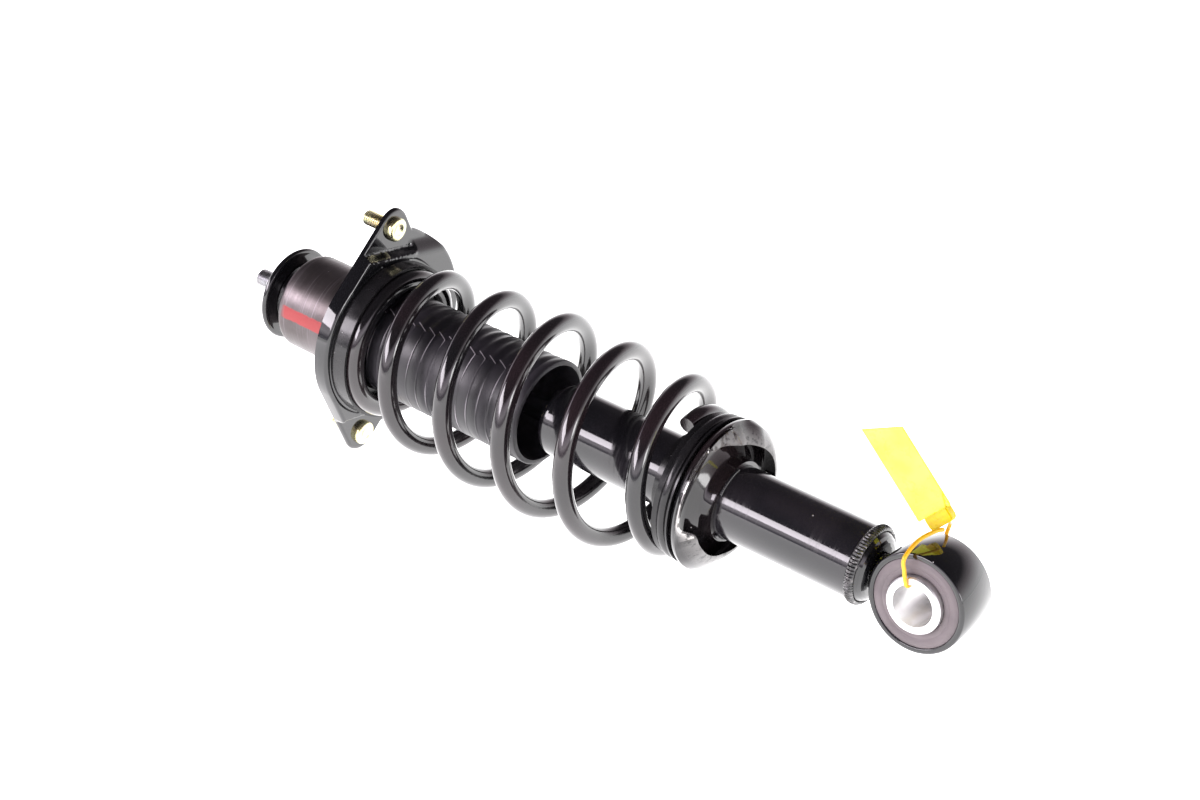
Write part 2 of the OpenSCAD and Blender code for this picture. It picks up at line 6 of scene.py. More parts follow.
import bmesh
import bpy
from bpy.props import FloatProperty, FloatVectorProperty, PointerProperty
from bpy.types import Operator, Panel, PropertyGroup
from mathutils import Matrix, Vector
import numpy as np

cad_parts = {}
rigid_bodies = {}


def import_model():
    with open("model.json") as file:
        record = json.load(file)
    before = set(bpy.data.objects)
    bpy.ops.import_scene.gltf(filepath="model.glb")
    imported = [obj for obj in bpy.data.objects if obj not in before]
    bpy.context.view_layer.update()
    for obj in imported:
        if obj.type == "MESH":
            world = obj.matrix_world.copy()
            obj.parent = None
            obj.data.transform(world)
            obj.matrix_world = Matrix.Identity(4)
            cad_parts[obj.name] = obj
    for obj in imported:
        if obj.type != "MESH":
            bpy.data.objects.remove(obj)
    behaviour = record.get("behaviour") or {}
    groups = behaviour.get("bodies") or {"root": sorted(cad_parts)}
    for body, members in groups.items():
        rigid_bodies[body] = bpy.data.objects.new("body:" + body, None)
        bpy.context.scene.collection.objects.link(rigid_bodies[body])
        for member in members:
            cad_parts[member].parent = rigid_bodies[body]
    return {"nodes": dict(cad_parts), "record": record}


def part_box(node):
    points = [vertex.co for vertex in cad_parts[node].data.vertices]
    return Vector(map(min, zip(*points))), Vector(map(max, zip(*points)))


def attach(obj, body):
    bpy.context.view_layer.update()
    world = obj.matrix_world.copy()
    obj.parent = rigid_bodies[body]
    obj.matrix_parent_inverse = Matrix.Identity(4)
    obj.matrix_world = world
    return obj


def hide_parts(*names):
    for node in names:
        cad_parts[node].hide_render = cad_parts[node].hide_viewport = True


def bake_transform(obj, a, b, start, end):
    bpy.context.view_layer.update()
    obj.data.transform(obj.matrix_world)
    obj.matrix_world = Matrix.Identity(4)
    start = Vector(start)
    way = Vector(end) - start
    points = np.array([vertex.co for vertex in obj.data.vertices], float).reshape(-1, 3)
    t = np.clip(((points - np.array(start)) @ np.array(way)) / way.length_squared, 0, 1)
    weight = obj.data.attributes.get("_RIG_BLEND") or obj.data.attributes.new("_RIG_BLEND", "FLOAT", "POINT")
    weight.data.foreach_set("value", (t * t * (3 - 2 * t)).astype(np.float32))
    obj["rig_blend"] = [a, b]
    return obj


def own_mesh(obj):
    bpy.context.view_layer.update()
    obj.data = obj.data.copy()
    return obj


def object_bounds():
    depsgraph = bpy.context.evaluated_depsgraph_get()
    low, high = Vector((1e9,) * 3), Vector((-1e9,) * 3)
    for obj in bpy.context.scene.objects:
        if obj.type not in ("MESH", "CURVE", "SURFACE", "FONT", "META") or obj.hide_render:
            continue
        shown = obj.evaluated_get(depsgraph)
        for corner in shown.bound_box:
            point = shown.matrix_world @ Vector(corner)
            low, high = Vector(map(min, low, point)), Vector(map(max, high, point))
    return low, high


bl_info = {
    "name": "Coil-over strut",
    "version": (1, 0, 0),
    "blender": (4, 5, 0),
    "location": "3D View > Sidebar > Strut",
    "description": "Builds the looks of a coil-over strut on its packed frame",
    "category": "Object",
}

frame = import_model()
CAD_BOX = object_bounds()

TOP = "top_mount"
TUBE = "damper_tube"
MM = 0.001
STUD_REACH = 0.070  # from the strut's axis to each stud
STUD_TURNS = (96.5, 276.5)  # degrees from +Y towards +Z
SLEEVE_BORE = 0.0125


# ---------- places taken from the frame ----------


def node_low(node, axis=0):
    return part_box(node)[0][axis]


def node_high(node, axis=0):
    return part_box(node)[1][axis]


def node_radius(node):
    """Half the node's height, for a piece turned about the strut's axis."""
    low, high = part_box(node)
    return (high.z - low.z) / 2


# ---------- mesh helpers ----------


def smooth_steps(t):
    t = min(max(t, 0.0), 1.0)
    return t * t * (3 - 2 * t)


def make_object(name, vertices, faces, crease_degrees=35, marks=None):
    """A welded mesh; marks names point values its material reads."""
    mesh = bpy.data.meshes.new(name)
    mesh.from_pydata([tuple(v) for v in vertices], [], faces)
    for mark, values in (marks or {}).items():
        mesh.attributes.new(mark, "FLOAT", "POINT").data.foreach_set("value", values)
    bm = bmesh.new()
    bm.from_mesh(mesh)
    bmesh.ops.remove_doubles(bm, verts=bm.verts, dist=1e-7)
    bmesh.ops.recalc_face_normals(bm, faces=bm.faces)
    bm.to_mesh(mesh)
    bm.free()
    mesh.polygons.foreach_set("use_smooth", [True] * len(mesh.polygons))
    mesh.set_sharp_from_angle(angle=math.radians(crease_degrees))
    obj = bpy.data.objects.new(name, mesh)
    bpy.context.scene.collection.objects.link(obj)
    return obj


def along_strut(place, radius, angle):
    """A point this far along the strut, at this radius and angle from +Y towards +Z."""
    return Vector((place, radius * math.cos(angle), radius * math.sin(angle)))


def along_eye(place, radius, angle):
    """A point this far along the eye's bore, at this radius and angle from +X towards +Z."""
    return Vector((radius * math.cos(angle), place, radius * math.sin(angle)))


def turned_faces(sides, count):
    """Faces of a closed section of this many points, repeated round an axis."""
    faces = []
    for i in range(sides):
        j = (i + 1) % sides
        for k in range(count):
            m = (k + 1) % count
            faces.append((i * count + k, i * count + m, j * count + m, j * count + k))
    return faces


def bar_faces(count, sides, closed=False):
    """Faces of a round bar of this many rings of points, capped unless it is closed."""
    faces = []
    for i in range(count if closed else count - 1):
        j = (i + 1) % count
        for s in range(sides):
            t = (s + 1) % sides
            faces.append((i * sides + s, i * sides + t, j * sides + t, j * sides + s))
    if not closed:
        faces.append(tuple(range(sides))[::-1])
        faces.append(tuple((count - 1) * sides + s for s in range(sides)))
    return faces


def turned(name, profile, sides=128, place=along_strut, reshape=None, crease_degrees=35):
    """A closed section of (place, radius) points turned about the strut or the eye."""
    vertices = []
    for i in range(sides):
        angle = 2 * math.pi * i / sides
        for k, (along, radius) in enumerate(profile):
            if reshape:
                along, radius = reshape(k, along, radius, angle)
            vertices.append(place(along, radius, angle))
    return make_object(name, vertices, turned_faces(sides, len(profile)), crease_degrees)


def swept(name, points, radii, sides=24, up=None, closed=False, crease_degrees=50):
    """A round bar along a line of points, with its own radius at each point."""
    count = len(points)
    vertices = []
    side = None
    for i, point in enumerate(points):
        before = points[i - 1] if i or closed else points[0]
        after = points[(i + 1) % count] if i < count - 1 or closed else points[-1]
        forward = (after - before).normalized()
        if side is None:
            side = (up or Vector((0.31, 0.2, 0.93))).cross(forward).normalized()
        side = (side - forward * side.dot(forward)).normalized()
        other = forward.cross(side)
        for s in range(sides):
            angle = 2 * math.pi * s / sides
            offset = side * math.cos(angle) + other * math.sin(angle)
            vertices.append(point + offset * radii[i])
    return make_object(name, vertices, bar_faces(count, sides, closed), crease_degrees)


def arc_points(along, radius, size, start, end, steps=6):
    """Points of a fillet in a section, in degrees from outwards towards the strut's top."""
    points = []
    for i in range(steps + 1):
        a = math.radians(start + (end - start) * i / steps)
        points.append((along + size * math.sin(a), radius + size * math.cos(a)))
    return points


def give(obj, body, material, slot, *nodes):
    """Puts a new piece on its body, in its finish, in place of the CAD nodes it stands for."""
    obj.data.materials.clear()
    obj.data.materials.append(material)
    if "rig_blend" not in obj and obj.parent is None:
        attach(obj, body)
    if nodes:
        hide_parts(*nodes)
    return obj


def finish_node(node, material):
    """Gives a carried-over CAD node its finish."""
    obj = frame["nodes"][node]
    obj.data.materials.clear()
    obj.data.materials.append(material)


# ---------- finishes ----------


class Finish:
    """A node material being put together for one finish of the strut."""

    def __init__(self, name, **sockets):
        self.material = bpy.data.materials.new(name)
        self.material.use_nodes = True
        self.tree = self.material.node_tree
        self.shader = self.tree.nodes["Principled BSDF"]
        self.coordinates = self.tree.nodes.new("ShaderNodeTexCoord").outputs["Object"]
        for socket, value in sockets.items():
            self.set(socket.replace("_", " "), value)

    def set(self, socket, value):
        if isinstance(value, bpy.types.NodeSocket):
            self.tree.links.new(value, self.shader.inputs[socket])
            return
        if hasattr(value, "__len__") and len(value) == 3 and socket != "Subsurface Radius":
            value = (*value, 1.0)
        self.shader.inputs[socket].default_value = value

    def node(self, kind, inputs=None, **settings):
        made = self.tree.nodes.new(kind)
        for key, value in settings.items():
            setattr(made, key, value)
        for key, value in (inputs or {}).items():
            if isinstance(value, bpy.types.NodeSocket):
                self.tree.links.new(value, made.inputs[key])
            else:
                made.inputs[key].default_value = value
        return made

    def stretched(self, scale):
        """The piece's own coordinates, stretched by this much along each axis."""
        return self.node(
            "ShaderNodeMapping", {"Vector": self.coordinates, "Scale": scale}
        ).outputs["Vector"]

    def mottle(self, scale, detail=3.0, stretch=(1, 1, 1), distortion=0.0):
        return self.node(
            "ShaderNodeTexNoise",
            {
                "Vector": self.stretched(stretch),
                "Scale": scale,
                "Detail": detail,
                "Distortion": distortion,
            },
        ).outputs["Fac"]

    def band(self, value, low, high, to_low=0.0, to_high=1.0):
        """value mapped smoothly from low..high to another range, and held outside it."""
        return self.node(
            "ShaderNodeMapRange",
            {
                "Value": value,
                "From Min": low,
                "From Max": high,
                "To Min": to_low,
                "To Max": to_high,
            },
            interpolation_type="SMOOTHSTEP",
        ).outputs["Result"]

    def maths(self, operation, a, b=0.0):
        return self.node("ShaderNodeMath", {0: a, 1: b}, operation=operation).outputs[0]

    def mixed(self, share, first, second):
        """One colour turning into another by share."""
        made = self.node("ShaderNodeMix", data_type="RGBA")
        for index, value in ((0, share), (6, first), (7, second)):
            if isinstance(value, bpy.types.NodeSocket):
                self.tree.links.new(value, made.inputs[index])
            else:
                made.inputs[index].default_value = (
                    value if index == 0 else (*value, 1.0)
                )
        return made.outputs[2]

    def relief(self, height, distance, strength=1.0, under=None):
        inputs = {"Height": height, "Distance": distance, "Strength": strength}
        if under is not None:
            inputs["Normal"] = under
        return self.node("ShaderNodeBump", inputs).outputs["Normal"]

    def axes(self):
        split = self.node("ShaderNodeSeparateXYZ", {"Vector": self.coordinates})
        return split.outputs["X"], split.outputs["Y"], split.outputs["Z"]

    def dust(self, scale=170.0, share=0.62):
        """Small pale specks lying here and there."""
        cells = self.node(
            "ShaderNodeTexVoronoi", {"Vector": self.coordinates, "Scale": scale}
        ).outputs["Distance"]
        speck = self.band(cells, 0.075, 0.04)
        return self.maths("MULTIPLY", speck, self.band(self.mottle(70), share, share + 0.02))


def enamel_finish(name, colour, tint, roughness=(0.04, 0.10), peel=0.00001, dust=0.64):
    """Gloss stove enamel with orange peel, faint colour drift and dust."""
    look = Finish(name, IOR=1.5, Coat_Weight=0.6, Coat_Roughness=0.05)
    drift = look.mottle(14, 2)
    base = look.mixed(look.band(drift, 0.35, 0.7), colour, tint)
    look.set("Base Color", look.mixed(look.dust(share=dust), base, (0.7, 0.68, 0.66)))
    look.set("Roughness", look.band(look.mottle(55, 4), 0.3, 0.75, *roughness))
    fine = look.relief(look.mottle(620, 2), peel)
    look.set("Normal", look.relief(look.mottle(2600, 2), peel * 0.2, 0.5, fine))
    return look


def tube_enamel():
    """Enamel over drawn tube, with fine rings left by polishing in cloudy patches."""
    look = Finish("tube_enamel", IOR=1.5, Coat_Weight=0.5, Coat_Roughness=0.05)
    rings = look.mottle(900, 3, (1.0, 0.02, 0.02))
    patch = look.mottle(26, 3)
    base = look.mixed(look.band(patch, 0.35, 0.7), (0.008, 0.008, 0.010), (0.017, 0.015, 0.018))
    look.set("Base Color", look.mixed(look.dust(150, 0.6), base, (0.75, 0.73, 0.7)))
    worn = look.maths("MULTIPLY", look.band(rings, 0.35, 0.7), look.band(patch, 0.3, 0.65))
    look.set("Roughness", look.band(worn, 0.0, 1.0, 0.08, 0.24))
    fine = look.relief(rings, 0.00001, 0.6)
    look.set("Normal", look.relief(look.mottle(500, 2), 0.00001, 0.5, fine))
    return look.material


def metal_finish(name, colour, second, roughness=(0.22, 0.4), grain=(1, 1, 1), scale=700.0, depth=0.00002):
    """Bare or plated metal with a directional grain and cloudy colour."""
    look = Finish(name, Metallic=1.0)
    cloud = look.mottle(85, 3)
    lines = look.mottle(scale, 3, grain)
    look.set("Base Color", look.mixed(look.band(cloud, 0.35, 0.68), colour, second))
    look.set("Roughness", look.band(lines, 0.3, 0.7, *roughness))
    look.set("Normal", look.relief(lines, depth, 0.8))
    return look


def rubber_finish(name, colour, second, roughness=(0.5, 0.7), scale=320.0, depth=0.00006, dust=0.58):
    """Moulded rubber with a fine bloom and dust in its skin."""
    look = Finish(name, IOR=1.48)
    bloom = look.mottle(48, 4)
    base = look.mixed(look.band(bloom, 0.35, 0.7), colour, second)
    look.set("Base Color", look.mixed(look.dust(260, dust), base, (0.35, 0.34, 0.33)))
    look.set("Roughness", look.band(look.mottle(130, 3), 0.3, 0.7, *roughness))
    look.set("Normal", look.relief(look.mottle(scale, 4), depth, 0.7))
    return look


def plastic_finish(name, colour, second, roughness=0.35, painted_glow=0.0):
    """Moulded plastic that lets some light through, with an optional painted glow of its own colour."""
    look = Finish(name, IOR=1.49, Subsurface_Weight=0.35, Subsurface_Scale=0.004)
    look.set("Subsurface Radius", (1.0, 0.8, 0.1))
    look.set("Base Color", look.mixed(look.band(look.mottle(90, 3), 0.35, 0.7), colour, second))
    look.set("Roughness", look.band(look.mottle(260, 3), 0.3, 0.7, roughness * 0.8, roughness * 1.25))
    look.set("Normal", look.relief(look.mottle(420, 3), 0.00003, 0.6))
    # A glow above zero is painted light: the plastic gives off light in its own colour, though it is no lamp.
    if painted_glow:
        look.set("Emission Color", colour)
        look.set("Emission Strength", painted_glow)
    return look


def can_steel(sizes):
    """Satin steel scored round the can, with a red stripe along one side."""
    look = Finish("can_steel", Metallic=0.85)
    x, y, z = look.axes()
    scores = look.mottle(1300, 4, (1.0, 0.012, 0.012))
    cloud = look.mottle(38, 4)
    steel = look.mixed(look.band(cloud, 0.3, 0.75), (0.085, 0.072, 0.072), (0.14, 0.122, 0.125))
    steel = look.mixed(look.band(scores, 0.56, 0.76), steel, (0.2, 0.18, 0.19))
    # The stripe is red colour laid along the can at a fixed angle; what makes the real red band is not known.
    angle = look.maths("ARCTAN2", z, y)
    off = look.maths("ABSOLUTE", look.maths("SUBTRACT", angle, sizes.stripe_angle))
    ragged = look.maths("ADD", off, look.maths("MULTIPLY", look.mottle(240, 3), 0.06))
    half = sizes.stripe_width / 2 / node_radius("mount_can")
    stripe = look.band(ragged, half + 0.05, half + 0.015)
    ends = look.band(x, node_high("mount_can") - 0.004, node_high("mount_can") - 0.008)
    stripe = look.maths("MULTIPLY", stripe, ends)
    patchy_stripe = look.maths("MULTIPLY", stripe, look.band(look.mottle(150, 4), 0.15, 0.45, 0.72, 1.0))
    look.set(
        "Base Color",
        look.mixed(patchy_stripe, look.mixed(look.dust(), steel, (0.9, 0.9, 0.9)), tuple(sizes.stripe_colour)),
    )
    look.set("Metallic", look.band(stripe, 0.2, 0.8, 0.85, 0.1))
    look.set("Roughness", look.band(scores, 0.3, 0.75, 0.3, 0.46))
    look.set("Normal", look.relief(scores, 0.00004, 0.7))
    return look.material


def boot_rubber():
    """Satin moulded rubber, with a painted highlight along the thin flash between its ribs."""
    look = Finish("boot_rubber", IOR=1.5)
    flash = look.node("ShaderNodeAttribute", attribute_name="flash_highlight").outputs["Fac"]
    streaks = look.mottle(120, 4, (1.0, 0.25, 0.25))
    base = look.mixed(look.band(streaks, 0.35, 0.7), (0.012, 0.011, 0.014), (0.026, 0.023, 0.029))
    # The pale colour along the flash is a painted highlight on the thin rubber ridges.
    look.set("Base Color", look.mixed(look.band(flash, 0.3, 0.8), base, (0.42, 0.39, 0.42)))
    look.set("Roughness", look.band(streaks, 0.3, 0.7, 0.34, 0.5))
    look.set("Normal", look.relief(look.mottle(420, 4), 0.00004, 0.6))
    return look.material


def weld_finish(name):
    """Painted weld with bare bright crests."""
    look = Finish(name, IOR=1.5, Coat_Weight=0.4, Coat_Roughness=0.08)
    crest = look.band(look.mottle(420, 4), 0.46, 0.74)
    look.set("Base Color", look.mixed(crest, (0.012, 0.012, 0.013), (0.22, 0.21, 0.21)))
    look.set("Metallic", look.band(crest, 0.0, 1.0, 0.2, 0.95))
    look.set("Roughness", look.band(look.mottle(300, 3), 0.3, 0.7, 0.14, 0.34))
    look.set("Normal", look.relief(look.mottle(900, 4), 0.00012, 0.7))
    return look.material


def perch_enamel():
    """Gloss enamel, scraped bright along the sheared edge of the rim."""
    look = enamel_finish("perch_enamel", (0.007, 0.007, 0.008), (0.016, 0.011, 0.012), (0.05, 0.12))
    sheared = look.node("ShaderNodeAttribute", attribute_name="sheared_edge").outputs["Fac"]
    bare = look.maths("MULTIPLY", sheared, look.band(look.mottle(330, 4), 0.3, 0.5))
    painted = look.shader.inputs["Base Color"].links[0].from_socket
    look.set("Base Color", look.mixed(bare, painted, (0.5, 0.48, 0.47)))
    look.set("Coat Weight", 0.3)
    look.set("Metallic", look.band(bare, 0.2, 0.8, 0.0, 0.9))
    return look.material


def yellow_zinc():
    look = metal_finish("yellow_zinc", (0.86, 0.78, 0.42), (0.72, 0.74, 0.5), (0.2, 0.34))
    pink = look.band(look.mottle(160, 3), 0.55, 0.72, 0.0, 0.5)
    plated = look.shader.inputs["Base Color"].links[0].from_socket
    look.set("Base Color", look.mixed(pink, plated, (0.86, 0.6, 0.52)))
    return look.material


def strut_finishes(colours, sizes):
    """Every finish of the strut, by its slot in the record."""
    paint = tuple(colours.enamel)
    tint = tuple(c * 1.9 for c in paint)
    drawn = (1.0, 0.03, 0.03)
    return {
        "gloss_black_paint": enamel_finish("gloss_enamel", paint, tint).material,
        "tube_black_paint": tube_enamel(),
        "spring_black_coat": enamel_finish(
            "coil_powder_coat", (0.006, 0.006, 0.007), (0.016, 0.010, 0.012), (0.09, 0.18), 0.00002, 0.68
        ).material,
        "satin_can_steel": can_steel(sizes),
        "yellow_zinc": yellow_zinc(),
        "bright_zinc": metal_finish(
            "bright_zinc", (0.86, 0.86, 0.86), (0.78, 0.77, 0.78), (0.34, 0.46), (1, 1, 1), 500.0,
            0.000004,
        ).material,
        "rod_chrome": metal_finish(
            "rod_chrome", (0.8, 0.8, 0.82), (0.7, 0.7, 0.73), (0.05, 0.12), drawn
        ).material,
        "machined_steel": metal_finish(
            "machined_steel", (0.5, 0.5, 0.52), (0.38, 0.37, 0.38), (0.24, 0.42), drawn
        ).material,
        "sintered_iron": metal_finish(
            "sintered_iron", (0.3, 0.29, 0.28), (0.2, 0.19, 0.19), (0.4, 0.62), (1, 1, 1), 900, 0.00006
        ).material,
        "weld_steel": weld_finish("weld_bead"),
        "black_rubber": rubber_finish(
            "moulded_rubber", (0.008, 0.008, 0.009), (0.014, 0.013, 0.014), (0.14, 0.28)
        ).material,
        "bush_rubber": rubber_finish(
            "bush_rubber", tuple(colours.bush), tuple(c * 0.8 for c in colours.bush), (0.42, 0.6), 520,
            0.00008, 0.6,
        ).material,
        "boot_rubber": boot_rubber(),
        "stop_foam": rubber_finish(
            "stop_foam", (0.62, 0.55, 0.38), (0.5, 0.43, 0.28), (0.6, 0.8), 800, 0.0002
        ).material,
        "bronze_bush": metal_finish("bronze_bush", (0.5, 0.36, 0.2), (0.36, 0.3, 0.2), (0.3, 0.5)).material,
        "filled_ptfe": plastic_finish("filled_ptfe", (0.16, 0.12, 0.08), (0.22, 0.17, 0.12), 0.5).material,
        "stop_nylon": plastic_finish("stop_nylon", (0.5, 0.5, 0.47), (0.42, 0.42, 0.4), 0.45).material,
        # The tag's 0.25 is a painted glow in its own yellow.
        "yellow_plastic": plastic_finish(
            "yellow_tag", tuple(colours.seal), (0.9, 0.86, 0.05), 0.32, 0.25
        ).material,
        "yellow_lock": plastic_finish("yellow_lock", (0.80, 0.60, 0.0), (0.80, 0.52, 0.0), 0.3).material,
        "yellow_strap": plastic_finish("yellow_strap", (0.78, 0.40, 0.01), (0.74, 0.46, 0.02), 0.3).material,
        "perch_enamel": perch_enamel(),
    }


# ---------- sizes and colours ----------


class StrutCoilSizes(PropertyGroup):
    """Sizes of the coil spring, as in the part's source."""

    wire_radius: FloatProperty(
        name="Wire radius", description="Half the wire's diameter", default=0.006, unit="LENGTH"
    )
    top_radius: FloatProperty(
        name="Top radius", description="Mean radius at the top seat", default=0.0425, unit="LENGTH"
    )
    waist_radius: FloatProperty(
        name="Waist radius", description="Mean radius at the widest turn", default=0.0565, unit="LENGTH"
    )
    foot_radius: FloatProperty(
        name="Foot radius", description="Mean radius at the lower seat", default=0.040, unit="LENGTH"
    )
    active_turns: FloatProperty(name="Working turns", description="Turns between the seats", default=4.85)
    seat_turns: FloatProperty(name="Seat turns", description="Turns lying flat in each seat", default=0.7)
    start_angle: FloatProperty(
        name="Start angle", description="Where the wire starts at the top seat",
        default=math.radians(166), subtype="ANGLE",
    )


class StrutSurfaceSizes(PropertyGroup):
    """Sizes of what is pressed, moulded or painted on the strut."""

    rib_pitch: FloatProperty(
        name="Rib pitch", description="Spacing of the dust boot's ribs", default=0.008, unit="LENGTH"
    )
    parting_angle: FloatProperty(
        name="Parting angle", description="Where the boot's mould halves meet", default=math.radians(56),
        subtype="ANGLE",
    )
    # The stripe below is the red band laid into the can's colour; what makes the real red band is not known.
    stripe_angle: FloatProperty(
        name="Stripe angle", description="Middle of the painted stripe on the can",
        default=math.radians(7), subtype="ANGLE",
    )
    stripe_width: FloatProperty(
        name="Stripe width", description="Width of the painted stripe on the can", default=0.0078,
        unit="LENGTH",
    )
    stripe_colour: FloatVectorProperty(
        name="Stripe", description="Colour of the painted stripe", subtype="COLOR", size=3, min=0, max=1,
        default=(0.30, 0.028, 0.03),
    )
    weld_ripples: FloatProperty(
        name="Weld ripples", description="Ripples round the weld at the foot of the tube", default=74
    )
    strap_radius: FloatProperty(
        name="Strap radius", description="Half the seal strap's diameter", default=0.0012, unit="LENGTH"
    )


class StrutColours(PropertyGroup):
    """Colours a user may want to change."""

    enamel: FloatVectorProperty(
        name="Enamel", description="Black paint of the pressings", subtype="COLOR", size=3, min=0, max=1,
        default=(0.005, 0.005, 0.006),
    )
    bush: FloatVectorProperty(
        name="Bush rubber", description="Face of the lower bush", subtype="COLOR", size=3, min=0, max=1,
        default=(0.15, 0.125, 0.132),
    )
    seal: FloatVectorProperty(
        name="Seal", description="Yellow of the blank seal", subtype="COLOR", size=3, min=0, max=1,
        default=(0.95, 0.95, 0.10),
    )


class StrutStageSettings(PropertyGroup):
    """Floor, light and camera."""

    floor_tilt: FloatProperty(
        name="Floor tilt", description="How far the strut leans on its plate", default=math.radians(7.2),
        subtype="ANGLE",
    )
    lens: FloatProperty(name="Lens", description="Focal length of the camera in millimetres", default=70.7)
    sky: FloatProperty(name="Backdrop light", description="Brightness of the pale backdrop", default=2.3)
    softbox: FloatProperty(
        name="Softbox light", description="Brightness of the wide softbox on the camera's side",
        default=2.4,
    )
    floor_light: FloatProperty(name="Floor light", description="Brightness of the lit floor", default=2.1)


FINISHES = {}


class StrutOperator(Operator):
    """What every strut operator shares."""

    bl_options = {"REGISTER", "UNDO"}

    def coil(self):
        return bpy.context.scene.strut_coil

    def sizes(self):
        return bpy.context.scene.strut_surface


class STRUT_OT_finishes(StrutOperator):
    """Make every finish and put it on the CAD node that keeps its own shape"""

    bl_idname = "strut.finishes"
    bl_label = "Finishes"

    def execute(self, context):
        FINISHES.update(strut_finishes(context.scene.strut_colours, self.sizes()))
        slots = {s["node"]: s["material_slot"] for s in frame["record"]["subparts"]}
        for node in frame["nodes"]:
            finish_node(node, FINISHES[slots[node]])
        return {"FINISHED"}


class STRUT_OT_coil_spring(StrutOperator):
    """Wind the coil spring, cut square at both ends, and let it shorten with the stroke"""

    bl_idname = "strut.coil_spring"
    bl_label = "Coil spring"

    def mean_radius(self, turn):
        coil = self.coil()
        seat, active = coil.seat_turns, coil.active_turns
        stops = (
            (0.0, coil.top_radius),
            (seat, coil.top_radius),
            (seat + 0.5, coil.waist_radius - 0.0055),
            (seat + active / 2, coil.waist_radius),
            (seat + active - 0.4, coil.waist_radius - 0.002),
            (seat + active, coil.foot_radius + 0.003),
            (active + 2 * seat, coil.foot_radius),
        )
        for (t0, r0), (t1, r1) in zip(stops, stops[1:]):
            if turn <= t1:
                return r0 + (r1 - r0) * (turn - t0) / (t1 - t0)
        return coil.foot_radius

    def execute(self, context):
        coil = self.coil()
        wire, sides, per_turn = coil.wire_radius, 28, 72
        head = node_high("coil_spring") - wire
        foot = node_low("coil_spring") + wire
        total = coil.active_turns + 2 * coil.seat_turns
        rings = round(total * per_turn)
        chamfer = 3
        vertices, shares = [], []
        for i in range(rings + 1):
            turn = total * i / rings
            share = min(max((turn - coil.seat_turns) / coil.active_turns, 0), 1)
            ends = min(i, rings - i)
            size = wire - (0.0009 * (chamfer - ends) / chamfer if ends < chamfer else 0)
            angle = coil.start_angle - 2 * math.pi * turn
            # the mean radius is averaged over a short stretch, so that the wire has no kinks
            around = [min(max(turn + d / 10, 0), total) for d in range(-2, 3)]
            mean = sum(self.mean_radius(t) for t in around) / len(around)
            mean = min(mean, coil.waist_radius)
            for s in range(sides):
                swing = 2 * math.pi * s / sides
                place = head + (foot - head) * share + size * math.sin(swing)
                vertices.append(along_strut(place, mean + size * math.cos(swing), angle))
                shares.append(share)
        spring = make_object("coil_spring_wire", vertices, bar_faces(rings + 1, sides), 50)
        if len(spring.data.vertices) != len(shares):
            raise RuntimeError("the coil's mesh changed its number of points")
        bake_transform(spring, TOP, TUBE, start=(head, 0, 0), end=(foot, 0, 0))
        spring.data.attributes["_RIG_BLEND"].data.foreach_set("value", shares)
        give(spring, TOP, FINISHES["spring_black_coat"], "spring_black_coat", "coil_spring")
        return {"FINISHED"}


class STRUT_OT_dust_boot(StrutOperator):
    """Mould the dust boot: flat ribs with thin flash in front, soft waves behind, parted in steps"""

    bl_idname = "strut.dust_boot"
    bl_label = "Dust boot"

    def execute(self, context):
        sizes = self.sizes()
        foot, top = node_low("dust_boot"), node_high("dust_boot")
        outer, wall, pitch = 0.0338, 0.003, sizes.rib_pitch
        flange, flange_foot = node_radius("dust_boot"), top - 0.002
        sides, rows = 380, 250
        start, half = sizes.parting_angle, math.pi
        first = foot + 0.006
        places = [first + (flange_foot - 0.0005 - first) * k / rows for k in range(rows + 1)]
        vertices, flashes = [], []

        def skin(place, angle):
            """Radius and flash at a point of the ribbed skin."""
            away = (angle - start) % (2 * math.pi)
            phase = ((place - first) / pitch) % 1.0
            near = min(phase, 1 - phase) * pitch
            if away < half:
                shifted = ((place - first) / pitch + 0.5 + away * 0.06) % 1.0
                wave = 0.5 - 0.5 * math.cos(2 * math.pi * shifted)
                fade = smooth_steps(away / 0.05) * smooth_steps((half - away) / 0.05)
                radius = outer - 0.0002 - 0.0007 * wave * fade
                side_gap = abs(away - 0.12 * phase) * outer
                flash = max(0.0, 1.0 - side_gap / 0.0006)
                return radius + 0.0002 * flash, flash
            crown = 0.00012 * math.sin(math.pi * phase)
            flash = max(0.0, 1 - near / 0.0006)
            along = 0.65 + 0.35 * math.sin(5 * away + 1.7 * round((place - first) / pitch))
            return outer - 0.00035 + crown + 0.0003 * flash, flash * along

        inner = outer - wall
        for i in range(sides):
            angle = start + 2 * math.pi * i / sides
            ring = [
                (foot, inner, 0), (foot, outer - 0.0006, 0), (foot + 0.0005, outer - 0.0001, 0),
                (foot + 0.0052, outer - 0.0001, 0),
            ]
            ring += [(p, *skin(p, angle)) for p in places]
            ring += [
                (flange_foot, outer - 0.0004, 0), (flange_foot, flange, 0), (top, flange, 0),
                (top, inner, 0),
            ]
            for place, radius, flash in ring:
                vertices.append(along_strut(place, radius, angle))
                flashes.append(flash)
        faces = turned_faces(sides, len(ring))
        # The flash values kept on the mesh make the boot's material paint a pale highlight along the flash.
        boot = make_object("dust_boot_sleeve", vertices, faces, 60, {"flash_highlight": flashes})
        give(boot, TOP, FINISHES["boot_rubber"], "boot_rubber", "dust_boot")
        return {"FINISHED"}


